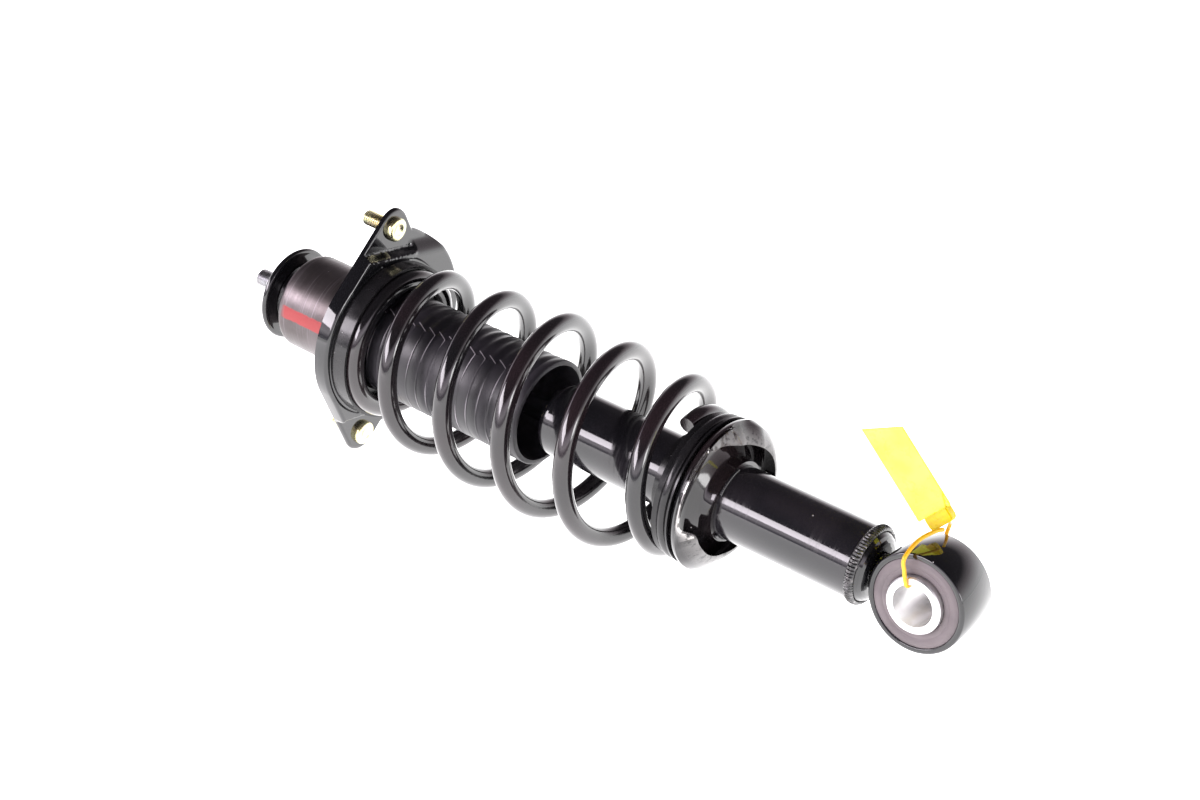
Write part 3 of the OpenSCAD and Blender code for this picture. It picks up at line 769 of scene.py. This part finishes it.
class STRUT_OT_bump_stop(StrutOperator):
    """Mould the foam bump stop"""

    bl_idname = "strut.bump_stop"
    bl_label = "Bump stop"

    squeezed = 0.77

    def execute(self, context):
        foot, top = node_low("bump_stop"), node_high("bump_stop")
        bore = 0.0073
        steps = 96
        skin = []
        for k in range(steps + 1):
            t = k / steps
            slim = 0.0144 + 0.0082 * t
            wave = 0.5 - 0.5 * math.cos(2 * math.pi * (3 * t + 0.15))
            ends = smooth_steps(min(t, 1 - t) / 0.03)
            skin.append((foot + (top - foot) * t, slim - 0.0032 * wave * ends - 0.0008 * (1 - ends)))
        stop = turned("bump_stop_foam", [(foot, bore), *skin, (top, bore)], 96, crease_degrees=40)
        give(stop, TOP, FINISHES["stop_foam"], "stop_foam", "bump_stop")
        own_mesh(stop)
        return {"FINISHED"}


class STRUT_OT_lower_pad(StrutOperator):
    """Mould the lower spring pad: thin flange, rounded bead and a lip under the wire"""

    bl_idname = "strut.lower_pad"
    bl_label = "Lower spring pad"

    def execute(self, context):
        foot, rim = node_low("lower_spring_pad"), node_radius("lower_spring_pad") - 0.0001
        top = node_low("coil_spring") - 0.0001
        bore = node_radius("outer_tube") + 0.0075
        profile = [(foot, bore - 0.0055), (foot, rim), (foot + 0.0012, rim), (foot + 0.0018, rim - 0.0016)]
        profile += [
            (
                foot + 0.0058 + 0.0038 * math.sin(math.radians(a)),
                rim - 0.0046 + 0.0044 * math.cos(math.radians(a)),
            )
            for a in range(-60, 61, 12)
        ]
        profile += [
            (top - 0.0012, rim - 0.0018), (top - 0.0004, rim - 0.0014), (top, rim - 0.0022),
            (top, bore + 0.004), (top + 0.008, bore - 0.0025), (top + 0.0122, bore - 0.0028),
            (top + 0.0128, bore - 0.0055), (top + 0.006, bore - 0.0055),
        ]
        pad = turned("lower_spring_pad_moulding", profile, 180, crease_degrees=30)
        give(pad, TUBE, FINISHES["black_rubber"], "black_rubber", "lower_spring_pad")
        return {"FINISHED"}


class STRUT_OT_welds(StrutOperator):
    """Lay the rippled welds at the foot of the tube, under the perch and on the eye"""

    bl_idname = "strut.welds"
    bl_label = "Welds"

    def execute(self, context):
        ripples = self.sizes().weld_ripples
        low, high = node_low("base_weld"), node_high("base_weld")
        middle, half = (low + high) / 2, (high - low) / 2 - 0.0002
        crest, tube = node_radius("base_weld") - 0.0004, node_radius("outer_tube")
        section = []
        for k in range(15):
            t = -1 + 2 * k / 14
            section.append((middle + half * t, tube - 0.0002 + (crest - tube) * (1 - t * t) ** 0.6))
        section += [(middle + half * 0.8, tube - 0.001), (middle - half * 0.8, tube - 0.001)]

        def ripple(k, along, radius, angle):
            if k > 14:
                return along, radius
            t = -1 + 2 * k / 14
            slow = 0.5 * math.sin(3 * angle + 1) + 0.5 * math.sin(7 * angle)
            wave = math.sin(ripples * angle + 1.6 * (1 - t * t) + 0.6 * slow)
            body = max(0.0, 1 - t * t)
            return along + 0.00035 * slow * body, radius + (0.00032 * wave + 0.0002 * slow) * body

        ring = turned("base_weld_bead", section, 888, reshape=ripple, crease_degrees=80)
        give(ring, TUBE, FINISHES["weld_steel"], "weld_steel", "base_weld")

        eye = node_radius("eye_ring")
        points, radii = [], []
        steps = 260
        for i in range(steps):
            angle = 2 * math.pi * i / steps
            reach = 0.0098 + 0.0006 * math.sin(5 * angle)
            y, z = reach * math.cos(angle), reach * math.sin(angle)
            place = math.sqrt(eye * eye - z * z) + 0.0007
            points.append(Vector((place, y, z)))
            lump = 0.5 + 0.5 * math.sin(angle * 9 + 0.8)
            radii.append(0.0014 + 0.0005 * lump + 0.00012 * math.sin(angle * 44))
        saddle = swept("eye_weld_bead", points, radii, 16, closed=True, crease_degrees=80)
        plug = [(eye - 0.0008, 0.0), (eye - 0.0008, 0.0088), (eye + 0.0022, 0.0098), (eye + 0.0022, 0.0)]
        core = turned("eye_weld_core", plug, 96)
        for piece in (saddle, core):
            give(piece, TUBE, FINISHES["weld_steel"], "weld_steel", "eye_weld")

        foot = node_high("perch_welds")
        for n in range(3):
            points, radii = [], []
            for i in range(61):
                angle = math.radians(120 * n - 90 + 50 * i / 60)
                points.append(along_strut(foot - 0.0008, tube + 0.0008, angle))
                radii.append(0.0011 + 0.00016 * math.sin(i * 1.7) - (0.0004 if i in (0, 60) else 0))
            bead = swept(f"perch_weld_{n + 1}", points, radii, 12, crease_degrees=80)
            give(bead, TUBE, FINISHES["gloss_black_paint"], "weld_steel", "perch_welds")
        return {"FINISHED"}


class STRUT_OT_spring_perch(StrutOperator):
    """Press the lower spring perch: cone, seat, rolled rim and two wings that curl in under it"""

    bl_idname = "strut.spring_perch"
    bl_label = "Spring perch"

    def wing_drop(self, degrees):
        """How far the rim reaches below the seat at this angle."""
        stops = (
            (-125, 7.5), (-121, 16.4), (-104, 16.8), (-80, 15.2), (-45, 15.0), (-26, 13.6),
            (2, 7.6), (20, 7.0), (58, 7.5), (76, 8.5), (98, 13.0), (122, 18.2), (150, 19.8),
            (178, 19.8), (182, 7.5), (235, 7.5),
        )
        for (a0, d0), (a1, d1) in zip(stops, stops[1:]):
            if degrees <= a1:
                return (d0 + (d1 - d0) * smooth_steps((degrees - a0) / (a1 - a0))) * MM
        return stops[-1][1] * MM

    def execute(self, context):
        seat = node_high("spring_perch")
        foot = seat - 0.016
        tube, rim, sheet = node_radius("outer_tube"), node_radius("spring_perch"), 0.0025
        knee = tube + 0.011
        sides = 360
        vertices, bare = [], []
        for i in range(sides):
            degrees = -125 + 360 * i / sides
            drop = self.wing_drop(degrees)
            if degrees < 40:
                hook = smooth_steps((-2 - degrees) / 18) * smooth_steps((degrees + 125) / 4)
            else:
                hook = smooth_steps((degrees - 56) / 14) * smooth_steps((182 - degrees) / 4)
            lift = 0.005 * hook * max(0.0, 1 - (drop - 0.007) / 0.006)
            reach = rim - 0.0105 * hook
            angle = math.radians(degrees)
            outer = [(foot, tube + 0.0001), (foot, tube + sheet), (foot + 0.007, tube + sheet)]
            outer += [(foot + 0.0085, tube + sheet + 0.0012), (seat - sheet - 0.001, knee - 0.0012)]
            outer += [(seat - sheet, knee), (seat - sheet, rim - 0.008), (seat - sheet - 0.002, rim - 0.0035)]
            outer += [(seat - 0.0068, rim - sheet)]
            low = seat - drop
            lip = (low + lift, reach - sheet * 0.75)
            outer += [(low + 0.003 + 0.002 * hook, rim - sheet - 0.001 * hook), lip]
            edge = [(low + lift, reach)]
            back = [(low + 0.002 + 0.0035 * hook, rim - 0.0025 * hook), (seat - 0.0065, rim)]
            back += arc_points(seat - 0.0068, rim - 0.0068, 0.0068, 12, 90, 6)
            back += [(seat, knee - 0.0012), (seat - 0.0012, knee - 0.0028), (foot + 0.011, tube + 0.0001)]
            ring = outer + edge + back
            for k, (along, radius) in enumerate(ring):
                vertices.append(along_strut(along, radius, angle))
                cut = k in (len(outer) - 1, len(outer))
                bare.append(1.0 if cut and -20 < degrees < 66 else 0.25 if cut else 0.0)
        faces = turned_faces(sides, len(ring))
        perch = make_object("spring_perch_pressing", vertices, faces, 40, {"sheared_edge": bare})
        give(perch, TUBE, FINISHES["perch_enamel"], "gloss_black_paint", "spring_perch")
        return {"FINISHED"}


class STRUT_OT_mount_plate(StrutOperator):
    """Press the top plate: raised seat with a groove, two stud lobes, skirt and far flange"""

    bl_idname = "strut.mount_plate"
    bl_label = "Mount plate"

    near, far, lobe, stud, fold = 0.0550, 0.070, 0.013, STUD_REACH, 0.054
    rise, thickness, roll = 0.007, 0.003, math.radians(STUD_TURNS[0])

    def outline(self, theta):
        """Distance to the plate's edge at this angle from the stud line."""
        off = abs(math.remainder(theta, math.pi))
        tangent = math.acos((self.near - self.lobe) / self.stud)
        tip = math.atan2(self.lobe * math.sin(tangent), self.stud + self.lobe * math.cos(tangent))
        if off < tip:
            reach = self.stud * math.cos(off) + math.sqrt(self.lobe**2 - (self.stud * math.sin(off)) ** 2)
        elif off < tangent:
            reach = self.near / math.cos(off - tangent)
        else:
            reach = self.near
        if math.sin(theta) > 0:
            reach = max(reach, self.far)
        return reach

    def height(self, u, v):
        """How far the spring side of the plate stands back from the seat."""
        past = abs(u) - self.fold
        step = smooth_steps((past + 0.0008) / 0.0024)
        slope = smooth_steps((past + 0.004) / 0.0125)
        beside = smooth_steps((v - 0.0155) / 0.005)
        back = self.rise * (step * (1 - beside) + slope * beside * 1.1)
        reach = math.hypot(u, v)
        groove = max(0.0, 1 - ((reach - 0.0518) / 0.0013) ** 2) if abs(u) < self.fold - 0.004 else 0.0
        return min(back, self.rise) + 0.0006 * groove

    def execute(self, context):
        seat = node_low("mount_plate")
        hole, sides, rings = 0.025, 540, 66
        bend = 0.0022
        vertices = []
        for i in range(sides):
            theta = 2 * math.pi * i / sides
            edge = self.outline(theta)

            def at(reach, along):
                u, v = reach * math.cos(theta), reach * math.sin(theta)
                angle = self.roll
                y = u * math.cos(angle) - v * math.sin(angle)
                z = u * math.sin(angle) + v * math.cos(angle)
                return Vector((seat + along, y, z))

            def front(reach):
                return self.height(reach * math.cos(theta), reach * math.sin(theta))

            inner_edge = edge - bend
            reaches = [hole + (inner_edge - hole) * k / rings for k in range(rings + 1)]
            ring = [at(r, front(r)) for r in reaches]
            base = front(inner_edge)
            full = self.rise + self.thickness
            for step in (30, 60, 90):
                a = math.radians(step)
                ring.append(at(inner_edge + bend * math.sin(a), base + bend * (1 - math.cos(a))))
            ring.append(at(edge, max(full, base + bend + 0.0001)))
            wall = edge - self.thickness
            ring.append(at(wall, max(full, base + bend + 0.0001) if base < 0.004 else full))
            for r in reversed(reaches):
                r = min(r, wall - 0.0004 * (1 if r > wall else 0))
                ring.append(at(r, min(front(r) + self.thickness, full)))
            vertices.extend(ring)
        faces = turned_faces(sides, len(ring))
        plate = make_object("mount_plate_pressing", vertices, faces, 38)
        give(plate, TOP, FINISHES["gloss_black_paint"], "gloss_black_paint", "mount_plate")
        return {"FINISHED"}


def threaded(name, centre, start, length, radius, pitch, sides=40):
    """A screw thread along X at this centre, chamfered at its end."""
    depth = 0.61 * pitch
    rows = round(length / pitch * 8)
    vertices = []
    for k in range(rows + 1):
        place = start + length * k / rows
        left = start + length - place
        for s in range(sides):
            angle = 2 * math.pi * s / sides
            phase = (place / pitch - angle / (2 * math.pi)) % 1.0
            flank = min(1.0, abs(2 * phase - 1) * 1.25)
            fade = smooth_steps((place - start) / pitch)
            size = radius - depth * flank * fade
            size = min(size, radius - depth * 1.1 + max(left, 0.0))
            vertices.append(
                Vector((place, centre[0] + size * math.cos(angle), centre[1] + size * math.sin(angle)))
            )
    return make_object(name, vertices, bar_faces(rows + 1, sides), 70)


class STRUT_OT_studs(StrutOperator):
    """Turn the two plated studs, with dished heads and rolled threads"""

    bl_idname = "strut.studs"
    bl_label = "Studs"

    def execute(self, context):
        low, high = node_low("mount_studs"), node_high("mount_studs")
        face = low + 0.0036
        for n, turn in enumerate(STUD_TURNS):
            middle = along_strut(0, STUD_REACH, math.radians(turn))
            centre = (middle.y, middle.z)

            def beside(along, radius, angle):
                return Vector(
                    (along, centre[0] + radius * math.cos(angle), centre[1] + radius * math.sin(angle))
                )

            head = [(low + 0.0007, 0.0), (low + 0.0007, 0.0034), (low + 0.0002, 0.0040), (low, 0.0046)]
            head += [(low, 0.0066), (low + 0.0004, 0.0073), (low + 0.0012, 0.0077), (face - 0.0005, 0.0079)]
            head += [(face, 0.0078), (face, 0.0056), (face + 0.0034, 0.0056), (face + 0.0042, 0.0048)]
            head += [(face + 0.0042, 0.0)]
            cap = turned(f"stud_{n + 1}_head", head, 64, place=beside, crease_degrees=40)
            shank = threaded(
                f"stud_{n + 1}_thread", centre, face + 0.0038, high - face - 0.0038, 0.005, 0.0015
            )
            for piece in (cap, shank):
                give(piece, TOP, FINISHES["yellow_zinc"], "yellow_zinc", "mount_studs")
        return {"FINISHED"}


class STRUT_OT_rod_end(StrutOperator):
    """Turn the rod, its threaded end, the flanged nut and the dished washer under it"""

    bl_idname = "strut.rod_end"
    bl_label = "Rod end"

    def execute(self, context):
        foot, tip = node_low("piston_rod"), node_high("piston_rod")
        shoulder = node_low("lower_cup_washer")
        rod = node_radius("piston_rod")
        nut_foot = node_low("rod_nut")
        shank = [(foot, 0.0), (foot, 0.0042), (foot + 0.0008, 0.005), (foot + 0.028, 0.005)]
        shank += [(foot + 0.028, rod - 0.0006), (foot + 0.0286, rod), (shoulder - 0.0006, rod)]
        shank += [
            (shoulder, rod - 0.0006), (shoulder, 0.006), (nut_foot - 0.001, 0.006),
            (nut_foot - 0.001, 0.0),
        ]
        chrome = turned("piston_rod_shank", shank, 96)
        give(chrome, TOP, FINISHES["rod_chrome"], "rod_chrome", "piston_rod")
        start = nut_foot - 0.001
        end = threaded("piston_rod_thread", (0, 0), start, tip - start, 0.006, 0.00125, 48)
        give(end, TOP, FINISHES["machined_steel"], "machined_steel", "piston_rod")

        low, high = node_low("rod_nut"), node_high("rod_nut")
        section = [(low, 0.006), (low, 0.0094), (low + 0.0008, 0.0109), (low + 0.0088, 0.0109)]
        section += [(high - 0.002, 0.0095), (high - 0.0018, 0.0086), (high - 0.0004, 0.0086), (high, 0.0080)]
        section += [(high, 0.0064), (high - 0.0004, 0.006)]

        def hexagon(k, along, radius, angle):
            flat = 0.00945 / math.cos(math.remainder(angle, math.pi / 3))
            return along, min(radius, flat)

        nut = turned("rod_nut_hexagon", section, 180, reshape=hexagon, crease_degrees=25)
        give(nut, TOP, FINISHES["bright_zinc"], "bright_zinc", "rod_nut")

        outer, bed = node_radius("upper_cup_washer"), nut_foot - 0.003
        low = node_low("upper_cup_washer")
        step = outer - 0.0095
        dish = [
            (bed, 0.006), (bed, step - 0.004), (bed - 0.0006, step - 0.0026),
            (low + 0.0006, step - 0.0006), (low, step + 0.0008),
        ]
        dish += [
            (low + 0.0003, step + 0.0022), (bed - 0.0004, outer - 0.0042), (bed - 0.0005, outer - 0.0024)
        ]
        dish += arc_points(bed + 0.0016, outer - 0.0021, 0.0021, -60, 100, 8)
        dish += [
            (bed + 0.0028, outer - 0.0034), (bed + 0.0022, outer - 0.0046), (bed - 0.0002, step + 0.0026)
        ]
        dish += [(bed + 0.0004, step + 0.0004), (bed + 0.003, step - 0.0024), (bed + 0.003, 0.006)]
        washer = turned("upper_cup_washer_dish", dish, 160, crease_degrees=50)
        give(washer, TOP, FINISHES["gloss_black_paint"], "gloss_black_paint", "upper_cup_washer")
        return {"FINISHED"}


class STRUT_OT_lower_eye(StrutOperator):
    """Mould the bush in the eye, with its pressed rings, and chamfer the eye ring"""

    bl_idname = "strut.lower_eye"
    bl_label = "Lower eye"

    def execute(self, context):
        half = (node_high("eye_rubber", 1) - node_low("eye_rubber", 1)) / 2
        outer = node_high("eye_rubber", 2)
        inner = node_high("eye_sleeve", 2) + 0.00005
        side = [
            (inner, 0.0016), (inner + 0.0006, 0.0008), (inner + 0.0016, 0.00045),
            (inner + 0.0034, 0.00035),
        ]
        side += [(inner + 0.0037, 0.00055), (inner + 0.0041, 0.00055), (inner + 0.0044, 0.0003)]
        side += [
            (outer - 0.0018, 0.0001), (outer - 0.0014, 0.0004), (outer - 0.0006, 0.0004), (outer, 0.0009)
        ]
        profile = [(half - inset, r) for r, inset in side] + [
            (-half + inset, r)
            for r, inset in reversed(side)
        ]
        rubber = turned("eye_bush_rubber", profile, 160, place=along_eye, crease_degrees=50)
        give(rubber, TUBE, FINISHES["bush_rubber"], "bush_rubber", "eye_rubber")

        half = (node_high("eye_ring", 1) - node_low("eye_ring", 1)) / 2
        radius = node_high("eye_ring", 2)
        bead = [(half - 0.0011, radius), (half - 0.0005, radius - 0.0003), (half - 0.0001, radius - 0.0009)]
        bead += [(half, radius - 0.0015), (half, outer + 0.0007), (half - 0.0005, outer)]
        profile = bead + [(-a, r) for a, r in reversed(bead)]
        ring = turned("eye_ring_forging", profile, 200, place=along_eye, crease_degrees=60)
        give(ring, TUBE, FINISHES["gloss_black_paint"], "gloss_black_paint", "eye_ring")
        return {"FINISHED"}


class STRUT_OT_seal(StrutOperator):
    """Mould the blank yellow seal: plate, lock with its tail, and the strap through the eye"""

    bl_idname = "strut.seal"
    bl_label = "Yellow seal"

    lift, plane, foot = math.radians(41), -0.010, Vector((0.009, -0.010, 0.040))

    def on_tag(self, up, across, out=0.0):
        """A point this far up the tag, across it, and out of its face towards +Y."""
        c, s = math.cos(self.lift), math.sin(self.lift)
        return self.foot + Vector((up * c - across * s, out, up * s + across * c))

    def slab(self, name, outline, thickness, bevel=0.0004):
        """A moulded slab of this outline in the tag's plane, with softened edges."""
        bm = bmesh.new()
        front = [bm.verts.new(self.on_tag(u, v, thickness / 2)) for u, v in outline]
        back = [bm.verts.new(self.on_tag(u, v, -thickness / 2)) for u, v in outline]
        bm.faces.new(front)
        bm.faces.new(back[::-1])
        for i in range(len(outline)):
            j = (i + 1) % len(outline)
            bm.faces.new((front[i], back[i], back[j], front[j]))
        bmesh.ops.recalc_face_normals(bm, faces=bm.faces)
        bmesh.ops.bevel(bm, geom=list(bm.edges), offset=bevel, segments=2, affect="EDGES")
        return self.moulded(name, bm)

    def joined(self, name, parts):
        """Several moulded slabs as one mesh."""
        bm = bmesh.new()
        for part in parts:
            bm.from_mesh(part.data)
            bpy.data.objects.remove(part)
        return self.moulded(name, bm)

    def moulded(self, name, bm):
        """An object from a finished moulding, smooth but for its sharp edges."""
        mesh = bpy.data.meshes.new(name)
        bm.to_mesh(mesh)
        bm.free()
        mesh.polygons.foreach_set("use_smooth", [True] * len(mesh.polygons))
        mesh.set_sharp_from_angle(angle=math.radians(40))
        obj = bpy.data.objects.new(name, mesh)
        bpy.context.scene.collection.objects.link(obj)
        return obj

    def box(self, u0, u1, v0, v1):
        return [(u0, v0), (u1, v0), (u1, v1), (u0, v1)]

    def execute(self, context):
        plate = self.slab(
            "tag_plate", [(0.0032, -0.0124), (0.0632, -0.0124), (0.0529, 0.0124), (0.0032, 0.0124)],
            0.0011, bevel=0.0003,
        )
        ribs = [
            self.slab(
                f"tag_rib_{i}", self.box(0.0046 + 0.003 * i, 0.0060 + 0.003 * i, -0.0123, 0.0123), 0.0019,
                bevel=0.0003,
            )
            for i in range(3)
        ]
        tag = self.joined("seal_tag_plate", [plate, *ribs])
        give(tag, TUBE, FINISHES["yellow_plastic"], "yellow_plastic", "seal_tag")

        body = self.slab(
            "lock_body",
            [
                (-0.0048, -0.0052), (-0.0030, -0.0068), (0.0038, -0.0068), (0.0038, 0.0104),
                (-0.0028, 0.0104), (-0.0048, 0.0090),
            ],
            0.0058, bevel=0.0007,
        )
        ears = [
            self.slab(
                f"lock_ear_{i}", self.box(-0.0040 + 0.0028 * i, -0.0024 + 0.0028 * i, -0.0060, 0.0096),
                0.0060, bevel=0.0003,
            )
            for i in range(3)
        ]
        lock = self.joined("seal_lock_body", [body, *ears])
        tail = swept(
            "seal_lock_tail",
            [self.on_tag(0.0020 + 0.0011 * i, 0.0086 + 0.0004 * i, 0.0006) for i in range(9)],
            [0.0006] * 9, 10,
        )
        for piece in (lock, tail):
            give(piece, TUBE, FINISHES["yellow_lock"], "yellow_plastic", "seal_lock")

        size = self.sizes().strap_radius
        face = node_high("eye_sleeve", 1) + size + 0.0003
        bore = SLEEVE_BORE - size - 0.0002
        turn = math.radians(30)
        route = [
            (0.003, -0.0065, 0.037), (0.005, 0.000, 0.0375), (0.008, 0.012, 0.035), (
                0.009, face + 0.0015, 0.028
            ),
            (0.0080, face + 0.0006, 0.020), (
                bore * math.sin(turn) + 0.0004, face - 0.0014, bore * math.cos(turn) + 0.0012
            ),
            (
                bore * math.sin(turn), face - 0.008, bore * math.cos(turn)
            ), (bore * math.sin(turn), 0.000, bore * math.cos(turn)),
            (bore * math.sin(turn), 0.008 - face, bore * math.cos(turn)), (
                bore * math.sin(turn) + 0.0004, 0.0014 - face, bore * math.cos(turn) + 0.0012
            ),
            (0.0075, -face - 0.001, 0.022), (0.006, -face, 0.033), (0.003, -0.0135, 0.0365),
        ]
        points = self.curved([Vector(p) for p in route], 9)
        strap = swept("seal_strap_loop", points, [size] * len(points), 14)
        give(strap, TUBE, FINISHES["yellow_strap"], "yellow_plastic", "seal_strap")
        return {"FINISHED"}

    def curved(self, route, steps):
        """A smooth line through the route's points."""
        line = []
        for i in range(len(route) - 1):
            p0, p1 = route[max(i - 1, 0)], route[i]
            p2, p3 = route[i + 1], route[min(i + 2, len(route) - 1)]
            for k in range(steps):
                t = k / steps
                line.append(
                    0.5 * (
                        2 * p1 + (p2 - p0) * t + (
                            2 * p0 - 5 * p1 + 4 * p2 - p3
                        ) * t * t + (3 * p1 - p0 - 3 * p2 + p3) * t**3
                    )
                )
        return [*line, route[-1]]


# ---------- floor, light and camera ----------


class STRUT_OT_stage(StrutOperator):
    """Lay the pale floor the strut leans on, light it softly and set the camera"""

    bl_idname = "strut.stage"
    bl_label = "Stage"

    camera_place = (-0.45317, 1.02634, 0.67703)
    camera_look = (0.490986, -0.734929, -0.467773)
    camera_right = (-0.790256, -0.601716, 0.115899)

    def light(self, name, place, aim, size, power, colour=(1, 1, 1)):
        lamp = bpy.data.lights.new(name, "AREA")
        lamp.shape = "RECTANGLE"
        lamp.size, lamp.size_y = size
        lamp.energy, lamp.color = power, colour
        obj = bpy.data.objects.new(name, lamp)
        obj.location = place
        obj.rotation_mode = "QUATERNION"
        obj.rotation_quaternion = (Vector(aim) - Vector(place)).to_track_quat("-Z", "Y")
        bpy.context.scene.collection.objects.link(obj)
        return obj

    def floor(self, up, middle, stage):
        lowest = min(v.co.dot(up) for node in frame["nodes"].values() for v in node.data.vertices)
        sides, reach = 96, 9.0
        side = up.cross(Vector((0, 1, 0))).normalized()
        other = up.cross(side)
        centre = middle - up * (middle.dot(up) - lowest + 0.00005)
        vertices = [
            centre + (
                side * math.cos(2 * math.pi * i / sides) + other * math.sin(2 * math.pi * i / sides)
            ) * reach
            for i in range(sides)
        ]
        floor = make_object("studio_floor", vertices, [tuple(range(sides))])
        pale = bpy.data.materials.new("pale_floor")
        pale.use_nodes = True
        tree = pale.node_tree
        shader = tree.nodes["Principled BSDF"]
        shader.inputs["Base Color"].default_value = (0.8, 0.8, 0.8, 1)
        shader.inputs["Roughness"].default_value = 0.9
        shader.inputs["Specular IOR Level"].default_value = 0.0
        shader.inputs["Emission Color"].default_value = (1, 1, 1, 1)
        shader.inputs["Emission Strength"].default_value = stage.floor_light
        floor.data.materials.append(pale)
        return centre

    def backdrop(self, up, stage):
        """Pale low all round and behind, dark overhead, dimmer on the camera's side."""
        world = bpy.data.worlds.new("studio_backdrop")
        bpy.context.scene.world = world
        world.use_nodes = True
        tree = world.node_tree
        back = tree.nodes["Background"]
        way = tree.nodes.new("ShaderNodeTexCoord").outputs["Generated"]

        def along(direction):
            dot = tree.nodes.new("ShaderNodeVectorMath")
            dot.operation = "DOT_PRODUCT"
            tree.links.new(way, dot.inputs[0])
            dot.inputs[1].default_value = direction
            return dot.outputs["Value"]

        def ramp(value, stops):
            made = tree.nodes.new("ShaderNodeValToRGB")
            tree.links.new(value, made.inputs["Fac"])
            elements = made.color_ramp.elements
            while len(elements) < len(stops):
                elements.new(0.5)
            for element, (place, colour) in zip(elements, stops):
                element.position = place
                element.color = (*colour, 1)
            return made.outputs["Color"]

        rise = along(up)
        behind = ramp(
            rise,
            [
                (0.0, (0.98, 1.0, 1.0)), (0.10, (0.95, 0.93, 0.95)), (0.34, (0.40, 0.36, 0.38)),
                (0.52, (0.05, 0.045, 0.05)), (1.0, (0.02, 0.018, 0.02)),
            ],
        )
        before = ramp(
            rise,
            [
                (0.0, (0.30, 0.29, 0.32)), (0.05, (0.22, 0.20, 0.24)), (0.14, (1.0, 0.93, 1.0)),
                (0.32, (0.70, 0.62, 0.72)), (0.44, (0.02, 0.018, 0.02)),
            ],
        )
        facing = tree.nodes.new("ShaderNodeMapRange")
        facing.interpolation_type = "SMOOTHSTEP"
        tree.links.new(along((0.20, 0.98, 0.0)), facing.inputs["Value"])
        facing.inputs["From Min"].default_value = -0.25
        facing.inputs["From Max"].default_value = 0.35
        front = tree.nodes.new("ShaderNodeBackground")
        tree.links.new(behind, back.inputs["Color"])
        tree.links.new(before, front.inputs["Color"])
        back.inputs["Strength"].default_value = stage.sky
        front.inputs["Strength"].default_value = stage.softbox
        mix = tree.nodes.new("ShaderNodeMixShader")
        tree.links.new(facing.outputs["Result"], mix.inputs[0])
        tree.links.new(back.outputs[0], mix.inputs[1])
        tree.links.new(front.outputs[0], mix.inputs[2])
        tree.links.new(mix.outputs[0], tree.nodes["World Output"].inputs["Surface"])

    def execute(self, context):
        stage = context.scene.strut_stage
        up = Vector((math.sin(stage.floor_tilt), 0, math.cos(stage.floor_tilt)))
        middle = (CAD_BOX[0] + CAD_BOX[1]) / 2
        self.floor(up, middle, stage)
        self.backdrop(up, stage)

        camera = bpy.data.cameras.new("studio_camera")
        camera.sensor_width, camera.lens = 36, stage.lens
        camera.clip_start, camera.clip_end = 0.01, 100
        obj = bpy.data.objects.new("studio_camera", camera)
        obj.location = self.camera_place
        look = Vector(self.camera_look).normalized()
        right = Vector(self.camera_right)
        right = (right - look * right.dot(look)).normalized()
        over = right.cross(look)
        turn = Matrix((right, over, -look)).transposed()
        obj.rotation_mode = "QUATERNION"
        obj.rotation_quaternion = turn.to_quaternion()
        bpy.context.scene.collection.objects.link(obj)
        context.scene.camera = obj

        self.light("key_softbox", (1.15, 1.45, 0.60), middle, (1.7, 0.5), 30, (1.0, 0.93, 1.0))
        self.light("side_softbox", (-1.5, 0.3, 0.5), middle, (0.5, 0.4), 6)
        context.scene.view_settings.view_transform = "Standard"
        return {"FINISHED"}


class STRUT_PT_panel(Panel):
    """Sizes, colours and the steps that build the strut"""

    bl_idname = "STRUT_PT_panel"
    bl_label = "Coil-over strut"
    bl_space_type = "VIEW_3D"
    bl_region_type = "UI"
    bl_category = "Strut"

    def draw(self, context):
        for group in ("strut_coil", "strut_surface", "strut_colours", "strut_stage"):
            settings = getattr(context.scene, group)
            box = self.layout.box()
            for name in settings.__annotations__:
                box.prop(settings, name)
        for step in STEPS:
            self.layout.operator(step.bl_idname)


STEPS = (
    STRUT_OT_stage,
    STRUT_OT_finishes,
    STRUT_OT_seal,
    STRUT_OT_coil_spring,
    STRUT_OT_bump_stop,
    STRUT_OT_dust_boot,
    STRUT_OT_mount_plate,
    STRUT_OT_studs,
    STRUT_OT_rod_end,
    STRUT_OT_spring_perch,
    STRUT_OT_lower_pad,
    STRUT_OT_lower_eye,
    STRUT_OT_welds,
)
GROUPS = {
    "strut_coil": StrutCoilSizes,
    "strut_surface": StrutSurfaceSizes,
    "strut_colours": StrutColours,
    "strut_stage": StrutStageSettings,
}


def register():
    for group in GROUPS.values():
        bpy.utils.register_class(group)
    for step in (*STEPS, STRUT_PT_panel):
        bpy.utils.register_class(step)
    for name, group in GROUPS.items():
        setattr(bpy.types.Scene, name, PointerProperty(type=group))


def unregister():
    for name in GROUPS:
        delattr(bpy.types.Scene, name)
    for step in (*STEPS, STRUT_PT_panel):
        bpy.utils.unregister_class(step)
    for group in GROUPS.values():
        bpy.utils.unregister_class(group)


def main():
    register()
    for step in STEPS:
        group, call = step.bl_idname.split(".")
        if getattr(getattr(bpy.ops, group), call)() != {"FINISHED"}:
            raise RuntimeError(f"{step.bl_label} didn't finish")


if __name__ == "__main__":
    main()
